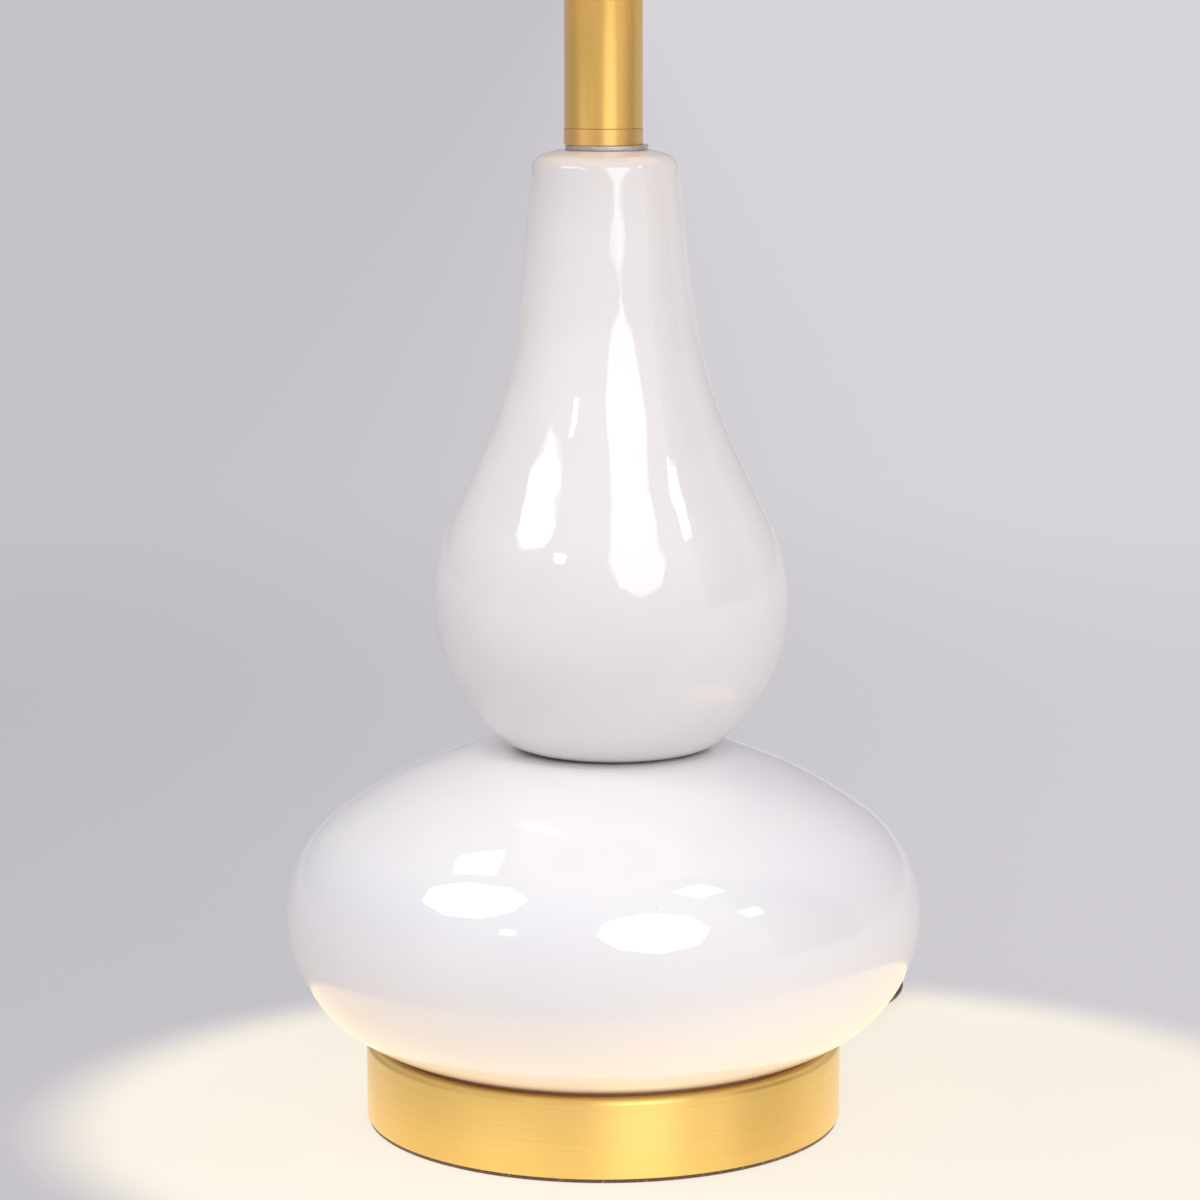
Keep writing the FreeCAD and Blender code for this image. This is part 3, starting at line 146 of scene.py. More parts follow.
class Finish(Graph):
    """A procedural material. Settings with plain numbers go straight on its surface shader."""

    def __init__(self, name, **surface):
        self.material = bpy.data.materials.new(name)
        self.material.use_nodes = True
        super().__init__(self.material.node_tree)
        self.shader = self.tree.nodes["Principled BSDF"]
        self.surface(**surface)
        self.spot = self.node("ShaderNodeTexCoord", output="Object")

    def surface(self, **values):
        for name, value in values.items():
            self.feed(self.shader.inputs[name.replace("_", " ")], value)

    def stretched(self, x, y, z):
        """The place on the piece with each direction scaled."""
        return self.node("ShaderNodeMapping", {}, {"Vector": self.spot, "Scale": (x, y, z)})

    def noise(self, scale, detail=2.0, place=None, roughness=0.5):
        return self.node("ShaderNodeTexNoise", {}, {
            "Vector": place or self.spot, "Scale": scale, "Detail": detail, "Roughness": roughness})

    def cells(self, scale, output="Distance"):
        return self.node("ShaderNodeTexVoronoi", {}, {"Vector": self.spot, "Scale": scale}, output)

    def part(self, axis, place=None):
        """One coordinate of the place: X, Y or Z."""
        return self.node("ShaderNodeSeparateXYZ", {}, {0: place or self.spot}, axis)

    def reach(self):
        """How far the place is from the vertical middle line."""
        flat = self.node("ShaderNodeVectorMath", {"operation": "MULTIPLY"},
                         {0: self.spot, 1: (1, 1, 0)})
        return self.node("ShaderNodeVectorMath", {"operation": "LENGTH"}, {0: flat}, "Value")

    def around(self):
        """The angle round the vertical middle line, in radians."""
        return self.part("Y").sum("ARCTAN2", self.part("X"))

    def blend(self, share, first, second):
        """A colour between two colours."""
        node = self.tree.nodes.new("ShaderNodeMix")
        node.data_type = "RGBA"
        for name, value in (("Factor", share), ("A", first), ("B", second)):
            slots = [slot for slot in node.inputs if slot.name == name and slot.enabled]
            self.feed(slots[0], value)
        return Signal(self, [slot for slot in node.outputs if slot.enabled][0])

    def bump(self, height, depth, under=None):
        """Turns a height from 0 to 1 into relief of that depth, in millimetres."""
        values = {"Height": height, "Distance": depth * MM, "Strength": 1.0}
        if under is not None:
            values["Normal"] = under
        return self.node("ShaderNodeBump", {}, values)


def rgb(red, green, blue):
    """A colour from the photograph's 0 to 255 scale, as light."""
    parts = [value / 255 for value in (red, green, blue)]
    light = [p / 12.92 if p <= 0.04045 else ((p + 0.055) / 1.055) ** 2.4 for p in parts]
    return (*light, 1.0)


def make_glaze(foot, rim, ripples, whites):
    """A thick white glaze over a brown clay that shows on the ring the piece stands on. The clay is
    set darker than bare clay, partly as painted shade of the joint.
    """
    finish = Finish("white_glaze", IOR=1.5, Coat_Weight=0.5, Coat_Roughness=0.015)
    pool = finish.noise(14, 3).ease(0.35, 0.65)
    white = finish.blend(pool, *whites)
    fleck = 1 - finish.cells(95).ease(0.02, 0.035)
    rare = finish.noise(31, 0).over(0.72)
    white = finish.blend(fleck * rare * 0.7, white, rgb(150, 134, 120))
    height = finish.part("Z")
    # The foot ring: real bare clay, whose colour below is darkened as painted shade where the piece
    # meets what it stands on.
    bare_foot_and_shade = 1 - height.ease(foot * MM, rim * MM)
    grain = finish.noise(900, 3)
    clay = finish.blend(grain, rgb(150, 96, 70), rgb(178, 124, 94))
    finish.surface(Base_Color=finish.blend(bare_foot_and_shade, white, clay))
    finish.surface(Roughness=finish.noise(40, 2).ease(0.3, 0.7, 0.01, 0.04) + bare_foot_and_shade * 0.6)
    swell = finish.bump(finish.noise(38, 1), 0.5 * ripples)
    ripple = finish.bump(finish.noise(210, 1), 0.030 * ripples, swell)
    finish.surface(Normal=ripple)
    return finish.material


def make_brass(name, colour, brushing=1.0, dull=0.42):
    """Satin brass, brushed round the vertical middle line and lacquered."""
    finish = Finish(name, Metallic=1.0, Anisotropic=0.9, Anisotropic_Rotation=0.25,
                    Coat_Weight=0.6, Coat_Roughness=0.3)
    lines = finish.part("Z") + finish.reach()
    place = finish.node("ShaderNodeCombineXYZ", {}, {
        "X": finish.part("X") * 9, "Y": finish.part("Y") * 9, "Z": lines * 3200})
    fine = finish.noise(1.0, 4, place, 0.6)
    wide = finish.node("ShaderNodeCombineXYZ", {}, {
        "X": finish.part("X") * 5, "Y": finish.part("Y") * 5, "Z": lines * 420})
    bands = finish.noise(1.0, 2, wide)
    cloud = finish.noise(26, 3)
    deep = tuple(value * 0.90 for value in colour[:3]) + (1,)
    tone = finish.blend(fine.ease(0.3, 0.7) * 0.6 + bands * 0.15, colour, deep)
    tarnish = (colour[0] * 0.80, colour[1] * 0.70, colour[2] * 0.62, 1)
    pits = (1 - finish.cells(420).ease(0.03, 0.09)) * finish.noise(60, 1).over(0.60)
    finish.surface(Base_Color=finish.blend(pits * 0.7, tone, tarnish))
    finish.surface(Roughness=fine * 0.10 + cloud * 0.08 + bands * 0.02 + (dull - 0.10))
    finish.surface(Normal=finish.bump(fine, 0.0035 * brushing))
    return finish.material


def make_wire_steel():
    """Bright plated wire with faint drawing lines."""
    finish = Finish("plated_wire", Metallic=1.0, Base_Color=(0.66, 0.63, 0.58, 1))
    smear = finish.noise(160, 3)
    finish.surface(Roughness=smear.ease(0.3, 0.7, 0.22, 0.36))
    finish.surface(Normal=finish.bump(finish.noise(500, 1), 0.0015))
    return finish.material


def make_zinc():
    """Zinc plated steel, pale and slightly patchy."""
    finish = Finish("zinc_plate", Metallic=0.85)
    spangle = finish.cells(240, "Color")
    grey = finish.blend(finish.part("X", spangle), rgb(186, 182, 182), rgb(210, 205, 205))
    finish.surface(Base_Color=grey)
    finish.surface(Roughness=finish.noise(110, 3).ease(0.3, 0.7, 0.38, 0.55))
    finish.surface(Normal=finish.bump(finish.noise(700, 2), 0.006))
    return finish.material


def make_cast_iron():
    finish = Finish("cast_iron", Metallic=0.3)
    grain = finish.noise(380, 5)
    finish.surface(Base_Color=finish.blend(grain, rgb(46, 44, 44), rgb(74, 71, 69)))
    finish.surface(Roughness=grain.ease(0.3, 0.7, 0.62, 0.85))
    finish.surface(Normal=finish.bump(grain, 0.12))
    return finish.material


def make_felt():
    """Dark brown felt: matted fibres with a little lint."""
    finish = Finish("felt", Roughness=0.95, Sheen_Weight=0.4, Sheen_Roughness=0.5)
    fibres = finish.noise(2600, 4, finish.stretched(1, 1.6, 0.7), 0.7)
    lint = finish.noise(900, 1).over(0.66)
    brown = finish.blend(fibres, rgb(62, 44, 42), rgb(112, 88, 84))
    finish.surface(Base_Color=finish.blend(lint * 0.4, brown, rgb(170, 154, 148)))
    finish.surface(Normal=finish.bump(fibres, 0.15))
    return finish.material


def make_rubber():
    """Black cord sheath: smooth, with a dry bloom."""
    finish = Finish("black_sheath", IOR=1.5)
    bloom = finish.noise(120, 3)
    finish.surface(Base_Color=finish.blend(bloom.ease(0.4, 0.8), rgb(22, 22, 23), rgb(38, 38, 38)))
    finish.surface(Roughness=bloom.ease(0.3, 0.7, 0.38, 0.52))
    finish.surface(Normal=finish.bump(finish.noise(1500, 2), 0.01))
    return finish.material


def make_black_plastic():
    """Moulded black phenolic with a dull polish."""
    finish = Finish("black_moulding", IOR=1.5)
    cloud = finish.noise(200, 3)
    finish.surface(Base_Color=finish.blend(cloud, rgb(24, 21, 20), rgb(34, 30, 28)))
    finish.surface(Roughness=cloud.ease(0.3, 0.7, 0.22, 0.34))
    finish.surface(Normal=finish.bump(finish.noise(900, 2), 0.006))
    return finish.material


def make_aluminium_thread():
    """A rolled round thread."""
    finish = Finish("rolled_thread", Metallic=1.0, Base_Color=(0.72, 0.72, 0.72, 1))
    pitch = 3.6 * MM
    turn = finish.around() * (1 / math.tau) + finish.part("Z") * (1 / pitch)
    wave = (turn * math.tau).sine() * 0.5 + 0.5
    finish.surface(Roughness=finish.noise(300, 2).ease(0.3, 0.7, 0.24, 0.38))
    finish.surface(Normal=finish.bump(wave, 0.5))
    return finish.material


def make_card():
    """Pressed brown card with short fibres."""
    finish = Finish("pressed_card", Roughness=0.85)
    fibres = finish.noise(1100, 4, finish.stretched(1, 1, 0.4), 0.7)
    finish.surface(Base_Color=finish.blend(fibres, rgb(120, 92, 66), rgb(164, 132, 98)))
    finish.surface(Normal=finish.bump(fibres, 0.03))
    return finish.material


def make_bulb_glass():
    """Frosted glass with a faint warm glow, warmest at its neck."""
    finish = Finish("frosted_glass", Roughness=0.35, IOR=1.5, Emission_Strength=0.35)
    up = finish.part("Z").ease(0.450, 0.500)
    frost = finish.blend(finish.noise(300, 2), rgb(246, 240, 228), rgb(252, 247, 238))
    finish.surface(Base_Color=frost)
    finish.surface(Emission_Color=finish.blend(up, (1.0, 0.60, 0.30, 1), (1.0, 0.78, 0.52, 1)))
    finish.surface(Normal=finish.bump(finish.noise(2000, 2), 0.004))
    return finish.material


def weave(finish):
    """Height of a plain weave on the shade: about 14 threads to the centimetre each way."""
    turns = finish.around()
    wobble = finish.noise(60, 2) * 0.9
    warps, wefts = 165, 1400
    across = (turns * warps * math.pi / 2 + wobble).sine()
    up = (finish.part("Z") * (wefts * math.pi) + wobble).sine()
    slub = finish.noise(1.0, 3, finish.node("ShaderNodeCombineXYZ", {}, {
        "X": turns * 220, "Y": finish.part("Z") * 60, "Z": 0.0}))
    return across.size() * 0.5 + up.size() * 0.5 + slub * 0.6


def make_shade_cloth():
    """Off-white linen with a faint painted glow, brightest at the bulb's height."""
    finish = Finish("shade_linen", Roughness=0.9, Sheen_Weight=0.2, Emission_Strength=0.06)
    threads = weave(finish)
    tint = threads.ease(0.5, 1.5)
    linen = finish.blend(tint, rgb(214, 205, 190), rgb(238, 231, 218))
    finish.surface(Base_Color=linen)
    height = finish.part("Z")
    # Painted glow: emission standing in for the bulb's light through the linen.
    glow = height.ease(0.40, 0.49) * (1 - height.ease(0.50, 0.60) * 0.8) * (tint * 0.25 + 0.75)
    finish.surface(Emission_Color=finish.blend(glow, rgb(120, 92, 64), rgb(255, 216, 165)))
    finish.surface(Normal=finish.bump(threads, 0.10))
    return finish.material


def make_trim_cloth():
    """The same linen folded over the edges: more layers, so its painted glow is fainter."""
    finish = Finish("trim_linen", Roughness=0.9, Sheen_Weight=0.2, Emission_Strength=0.05)
    threads = weave(finish)
    tint = threads.ease(0.5, 1.5)
    finish.surface(Base_Color=finish.blend(tint, rgb(208, 199, 184), rgb(234, 227, 214)))
    # Painted glow, following the weave.
    finish.surface(Emission_Color=finish.blend(tint, rgb(96, 74, 52), rgb(140, 112, 82)))
    finish.surface(Normal=finish.bump(threads, 0.12))
    return finish.material


def make_lining():
    """The shade's smooth white lining, with a faint warm painted glow at the bulb's height."""
    finish = Finish("shade_lining", Roughness=0.6, Emission_Strength=0.22)
    height = finish.part("Z")
    # Painted glow: emission standing in for the bulb's light on the lining, brightest at the bulb's
    # height.
    glow = height.ease(0.39, 0.49) * (1 - height.ease(0.50, 0.60) * 0.7)
    white = finish.blend(finish.noise(80, 2), rgb(244, 238, 226), rgb(249, 244, 234))
    finish.surface(Base_Color=white)
    finish.surface(Emission_Color=finish.blend(glow, rgb(200, 168, 140), rgb(255, 234, 210)))
    finish.surface(Normal=finish.bump(finish.noise(500, 2), 0.02))
    return finish.material


# The drum, tube and collar are one brass. Their colours and dullness differ as painted light, each
# set to how that piece is lit.
brass = make_brass("brushed_brass", colour=(0.94, 0.69, 0.22, 1))
tube_brass = make_brass("tube_brass", colour=(0.95, 0.61, 0.155, 1), dull=0.41)
collar_brass = make_brass("collar_brass", colour=(0.97, 0.61, 0.19, 1), dull=0.46)
fitting_brass = make_brass("fitting_brass", brushing=0.5, colour=(0.88, 0.61, 0.27, 1), dull=0.28)
zinc = make_zinc()
iron = make_cast_iron()
felt = make_felt()
sheath = make_rubber()
moulding = make_black_plastic()
thread = make_aluminium_thread()
card = make_card()
wire = make_wire_steel()
frosted = make_bulb_glass()
linen = make_shade_cloth()
trim_linen = make_trim_cloth()
lining = make_lining()
lower_glaze = make_glaze(27.55, 27.75, 0.25, (rgb(246, 245, 247), rgb(249, 248, 249)))
# The gourds share one glaze; the upper gourd's whites are set darker as painted shade.
upper_glaze = make_glaze(123.6, 123.75, 1.8, (rgb(239, 236, 235), rgb(245, 241, 239)))


# Shapes


class Section:
    """Half of a turned piece's section, drawn point by point as radius and height."""

    def __init__(self):
        self.points = []

    def to(self, radius, height, soft=0.0):
        """A straight line to a corner, softened by that radius."""
        self.points.append((Vector((radius, height)), soft))
        return self

    def line(self, radius, height, steps):
        """A straight line in short steps, so that a mirror finish stays even along it."""
        start = self.points[-1][0]
        for step in range(1, steps + 1):
            self.points.append((start.lerp(Vector((radius, height)), step / steps), 0.0))
        return self

    def arc(self, radius, height, bend, turn=1, steps=24):
        """An arc under a half circle, turning left (1) or right (-1)."""
        start = self.points[-1][0]
        end = Vector((radius, height))
        chord = end - start
        side = Vector((-chord.y, chord.x)).normalized() * turn
        centre = (start + end) / 2 + side * math.sqrt(bend ** 2 - chord.length_squared / 4)
        first = start - centre
        sweep = 2 * math.asin(chord.length / 2 / bend) * turn
        for step in range(1, steps + 1):
            spoke = Matrix.Rotation(sweep * step / steps, 2) @ first
            self.points.append((centre + spoke, 0.0))
        return self

    def outline(self):
        """The points with every soft corner rounded."""
        count = len(self.points)
        result = []
        for index, (corner, soft) in enumerate(self.points):
            if not soft:
                result.append(corner)
                continue
            back = (self.points[index - 1][0] - corner).normalized()
            ahead = (self.points[(index + 1) % count][0] - corner).normalized()
            half = back.angle(ahead) / 2
            trim = soft / math.tan(half)
            centre = corner + (back + ahead).normalized() * (soft / math.sin(half))
            first = corner + back * trim - centre
            last = corner + ahead * trim - centre
            sweep = first.angle_signed(last)
            steps = max(4, round(abs(sweep) * 6))
            for step in range(steps + 1):
                result.append(centre + Matrix.Rotation(-sweep * step / steps, 2) @ first)
        return result


def finish_piece(mesh, name, material, body, stands_for, sharp=35):
    """Makes an object of a bmesh, with its finish, its body and the nodes it stands for."""
    bmesh.ops.remove_doubles(mesh, verts=mesh.verts, dist=1e-6)
    bmesh.ops.recalc_face_normals(mesh, faces=mesh.faces)
    data = bpy.data.meshes.new(name)
    mesh.to_mesh(data)
    mesh.free()
    data.shade_smooth()
    data.set_sharp_from_angle(angle=math.radians(sharp))
    return dress(put(data, name), material, body, stands_for)


def dress(piece, material, body, stands_for):
    piece.data.materials.append(material)
    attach(piece, body)
    if stands_for:
        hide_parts(*stands_for)
    return piece


def turned_mesh(section, steps=160, place=None):
    """A section spun round the vertical middle line, then moved to its place."""
    mesh = bmesh.new()
    points = section.outline()
    ring = [mesh.verts.new((point.x * MM, 0, point.y * MM)) for point in points]
    edges = []
    for first, second in zip(ring, ring[1:] + ring[:1]):
        if first.co.x > 1e-7 or second.co.x > 1e-7:
            edges.append(mesh.edges.new((first, second)))
    bmesh.ops.spin(mesh, geom=ring + edges, cent=(0, 0, 0), axis=UP, angle=math.tau, steps=steps,
                   use_merge=True)
    if place is not None:
        bmesh.ops.transform(mesh, matrix=place, verts=mesh.verts)
    return mesh


def turned(name, section, material, stands_for=None, body="lamp", steps=160, place=None):
    mesh = turned_mesh(section, steps, place)
    nodes = stands_for or [name.removesuffix("_look")]
    return finish_piece(mesh, name, material, body, nodes)


def ring_section(inner, outer, low, high, soft=0.15):
    section = Section()
    for radius, height in ((inner, low), (outer, low), (outer, high), (inner, high)):
        section.to(radius, height, soft)
    return section


def wire_section(radius, place, height, steps=16):
    section = Section()
    for step in range(steps):
        angle = math.tau * step / steps
        section.to(place + radius * math.cos(angle), height + radius * math.sin(angle))
    return section


def levels(node):
    """The lowest and highest level of a CAD node, in millimetres."""
    low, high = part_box(node)
    return low[2] / MM, high[2] / MM


def bent_rod(name, points, radius, resolution, kind="POLY"):
    """A round rod along close points."""
    curve = bpy.data.curves.new(name, "CURVE")
    curve.dimensions = "3D"
    curve.bevel_depth = radius * MM
    curve.bevel_resolution = resolution
    curve.use_fill_caps = True
    spline = curve.splines.new(kind)
    spline.points.add(len(points) - 1)
    for spot, point in zip(spline.points, points):
        spot.co = (*(Vector(point) * MM), 1)
    return put(curve, name)


def smooth_tube(name, points, radius):
    """A round tube along one smooth open spline."""
    tube = bent_rod(name, points, radius, resolution=6, kind="NURBS")
    tube.data.resolution_u = 6
    spline = tube.data.splines[0]
    spline.order_u = 3
    spline.use_endpoint_u = True
    return tube


# Cord

CORD_AZIMUTH = math.radians(52)
CORD_RADIUS = 3.0
CORD_EXIT = 107.9
EXIT_HEIGHT = 7.0
COIL_START = Vector((10, 200, 3.1))
COIL_INNER = 25.0
COIL_PITCH = 6.5
COIL_TURNS = 3.25
POINTS_PER_TURN = 24


def coil_point(angle):
    """In along the table, up one layer in a half turn, and out again on top."""
    way_in = COIL_TURNS * math.tau
    outer = COIL_INNER + COIL_TURNS * COIL_PITCH
    radius = outer - COIL_PITCH * angle / math.tau
    lift = 0.0
    if angle > way_in:
        climb = min(1.0, (angle - way_in) / math.pi)
        lift = COIL_PITCH * climb ** 2 * (3 - 2 * climb)
        if climb < 1.0:
            radius = COIL_INNER - COIL_PITCH / math.tau * math.sin(math.pi * climb)
        else:
            radius = COIL_INNER + COIL_PITCH * (angle - way_in - math.pi) / math.tau
    around = angle + math.pi / 2
    centre = COIL_START - Vector((0, outer, 0))
    return centre + Vector((radius * math.cos(around), radius * math.sin(around), lift))


def cord_points():
    way = Vector((math.cos(CORD_AZIMUTH), math.sin(CORD_AZIMUTH), 0))
    start = way * CORD_EXIT + UP * EXIT_HEIGHT
    points = [start, start + way * 14]
    points += [Vector(place) for place in (
        (86.0, 110.5, 4.6), (97.5, 125.5, 3.1), (107.0, 143.5, 3.1), (108.0, 163.5, 3.1),
        (99.5, 181.5, 3.1), (83.5, 193.5, 3.1), (64.0, 199.5, 3.1), (42.0, 201.0, 3.1),
        (26.0, 200.0, 3.1), (16.0, 200.0, 3.1))]
    total = COIL_TURNS * 2 * math.tau + math.pi
    count = round(total / math.tau * POINTS_PER_TURN)
    points += [coil_point(total * step / count) for step in range(count + 1)]
    for step in ((-6, 0, 0), (-14, 0, 0), (-14, -0.7, -1.2), (-14, -0.9, -1.4), (-14, 0, 0)):
        points.append(points[-1] + Vector(step))
    return points


def make_cord():
    points = cord_points()
    cord = smooth_tube("lead_with_coil", points, CORD_RADIUS)
    dress(cord, sheath, "lamp", ["cord", "cord_coil", "cord_tail"])
    return cord, points


cord, cord_line = make_cord()
PLUG_PLACE = cord_line[-1]


def bridged(name, loops, material, stands_for, body="lamp"):
    """A skin over closed loops of points, each with as many points as the last."""
    mesh = bmesh.new()
    rings = []
    for loop in loops:
        verts = [mesh.verts.new(Vector(point) * MM) for point in loop]
        rings.append([mesh.edges.new(pair) for pair in zip(verts, verts[1:] + verts[:1])])
    for first, second in zip(rings, rings[1:]):
        bmesh.ops.bridge_loops(mesh, edges=first + second)
    for ring in (rings[0], rings[-1]):
        bmesh.ops.edgeloop_fill(mesh, edges=ring)
    return finish_piece(mesh, name, material, body, stands_for)


def flat_oval(place, width, height, power, count=48):
    """A loop across the plug: power 2 is an ellipse, larger powers are squarer."""
    loop = []
    for step in range(count):
        angle = math.tau * step / count
        across = math.copysign(abs(math.cos(angle)) ** (2 / power), math.cos(angle))
        up = math.copysign(abs(math.sin(angle)) ** (2 / power), math.sin(angle))
        loop.append(place + Vector((0, across * width / 2, up * height / 2)))
    return loop


def make_plug():
    """A moulded plug: a ribbed neck that swells to a flat grip with finger ridges."""
    stations = [(0.0, 7.0, 7.0, 2.0), (0.3, 8.4, 8.4, 2.0)]
    for rib in range(3):
        start = 1.2 + rib * 2.6
        stations += [(start, 9.0 + rib * 1.6, 8.6 + rib * 0.6, 2.1),
                     (start + 0.25, 8.0 + rib * 1.6, 7.6 + rib * 0.6, 2.1),
                     (start + 0.9, 8.0 + rib * 1.7, 7.6 + rib * 0.6, 2.1),
                     (start + 1.15, 9.6 + rib * 1.7, 9.0 + rib * 0.6, 2.1)]
    stations += [(9.6, 16.0, 11.0, 2.4), (12.0, 20.6, 12.8, 3.0), (14.2, 23.4, 13.6, 3.6)]
    for ridge in range(5):
        start = 16.0 + ridge * 2.4
        stations += [(start, 23.8, 13.8, 4.0), (start + 0.4, 22.8, 12.6, 4.0),
                     (start + 1.2, 22.8, 12.6, 4.0), (start + 1.6, 23.8, 13.8, 4.0)]
    stations += [(33.2, 24.0, 13.8, 4.2), (33.8, 23.6, 13.4, 4.2), (34.0, 22.6, 12.4, 4.0)]
    loops = [flat_oval(PLUG_PLACE + Vector((-x, 0, 0)), width, height, power)
             for x, width, height, power in stations]
    return bridged("plug_grip", loops, sheath, ["plug_body"])


def block(mesh, low, high, bevel=0.0, segments=2):
    """A box between two corners with its edges rounded, in millimetres."""
    low = Vector(low) * MM
    high = Vector(high) * MM
    made = bmesh.ops.create_cube(mesh, size=1.0)["verts"]
    bmesh.ops.scale(mesh, vec=high - low, verts=made)
    bmesh.ops.translate(mesh, vec=(low + high) / 2, verts=made)
    if bevel:
        edges = list({edge for vert in made for edge in vert.link_edges})
        bmesh.ops.bevel(mesh, geom=made + edges, offset=bevel * MM, segments=segments, profile=0.5,
                        affect="EDGES", material=-1)


def make_blades():
    """Two flat blades with rounded tips."""
    low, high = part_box("plug_blades")
    low, high = Vector(low) / MM, Vector(high) / MM
    mesh = bmesh.new()
    for side in (low.y, high.y - 1.5):
        block(mesh, (low.x, side, low.z), (high.x, side + 1.5, high.z), bevel=0.45, segments=3)
    return finish_piece(mesh, "plug_pins", fitting_brass, "lamp", ["plug_blades"])


def relief_place():
    """Turns a piece drawn upwards so that it points out where the cord leaves the base."""
    lay = Matrix.Rotation(math.pi / 2, 4, "Y")
    swing = Matrix.Rotation(CORD_AZIMUTH, 4, "Z")
    return Matrix.Translation((0, 0, EXIT_HEIGHT * MM)) @ swing @ lay


def make_relief():
    """A tapered bush with a flange against the drum and grooves that let it bend."""
    section = Section().to(0, 74.9).to(5.8, 74.9, 0.3).to(5.8, 76.2, 0.3).to(4.2, 76.3)
    section.to(4.2, 77.9).to(6.5, 77.9, 0.3).to(6.5, 79.8, 0.6)
    grooves = 6
    for groove in range(grooves):
        share = groove / grooves
        start = 81.2 + share * 24
        reach = 5.4 - 1.7 * share
        section.to(reach, start, 0.2).to(reach - 0.06, start + 2.2, 0.3)
        section.to(reach - 0.9, start + 2.3, 0.2).to(reach - 0.9, start + 3.1, 0.2)
    section.to(3.7, 105.6, 0.2).to(3.6, 107.8, 0.4).to(0, 107.8)
    return turned("cord_bush", section, sheath, ["strain_relief"], steps=64,
                  place=relief_place())


plug = make_plug()
blades = make_blades()
bush = make_relief()
tuple(cord_line[0] * MM)


# Base


def make_base():
    felt_low, felt_high = levels("felt_pad")
    low, high = levels("base_shell")
    outer, bore, wall = 77.75, 5.5, 1.2
    section = Section().to(0, felt_low).to(outer - 0.55, felt_low, 0.2)
    section.to(outer - 0.45, felt_high, 0.1).to(0, felt_high)
    turned("felt_disc", section, felt, ["felt_pad"], steps=256)
    section = Section().to(outer - wall, low, 0.2).to(outer, low, 0.5).to(outer, high, 1.9)
    section.to(bore, high, 0.2).to(bore, high - wall, 0.2).to(outer - wall, high - wall, 0.8)
    turned("brass_drum", section, brass, ["base_shell"], steps=320)


make_base()


# Gourds


def make_lower_gourd():
    """A flattened ball of four arcs with a low foot ring and a soft flat seat."""
    foot, seat = levels("lower_gourd")
    belly, shoulder, crown = 44.07, 38.03, 149.5
    widest = foot + 42.91
    radius, wall, bore = 103.67, 5.5, 8
    low = radius - belly
    high = radius - shoulder
    drop = math.sqrt((crown - shoulder) ** 2 - high ** 2)
    pivot = widest - drop
    stretch = crown / (crown - shoulder)
    soft = 30.0
    rise = seat - soft - pivot
    flat = math.sqrt((crown - soft) ** 2 - rise ** 2)
    grow = crown / (crown - soft)
    ring, ring_height = 73.1, 1.1
    edge = low + math.sqrt(belly ** 2 - (widest - foot - ring_height) ** 2)
    section = Section().to(bore, foot, 0.3).to(ring, foot, 0.1)
    section.to(ring, foot + ring_height - 0.3, 0.1)
    section.to(edge, foot + ring_height).arc(radius, widest, belly, steps=40)
    section.arc(high * stretch, pivot + drop * stretch, shoulder, steps=56)
    section.arc(flat * grow, pivot + rise * grow, crown, steps=32)
    section.arc(flat, seat, soft, steps=10)
    section.to(bore, seat, 0.4).to(bore, seat - wall, 0.4)
    inner = crown - wall
    ceiling = math.sqrt(inner ** 2 - (seat - wall - pivot) ** 2)
    shrink = inner / (crown - shoulder)
    section.to(ceiling, seat - wall)
    section.arc(high * shrink, pivot + drop * shrink, inner, -1, 12)
    section.arc(radius - wall, widest, shoulder - wall, -1, 16)
    section.arc(low, widest - belly + wall, belly - wall, -1, 16)
    section.to(bore, widest - belly + wall, 0.3)
    turned("lower_gourd_look", section, lower_glaze, steps=256)


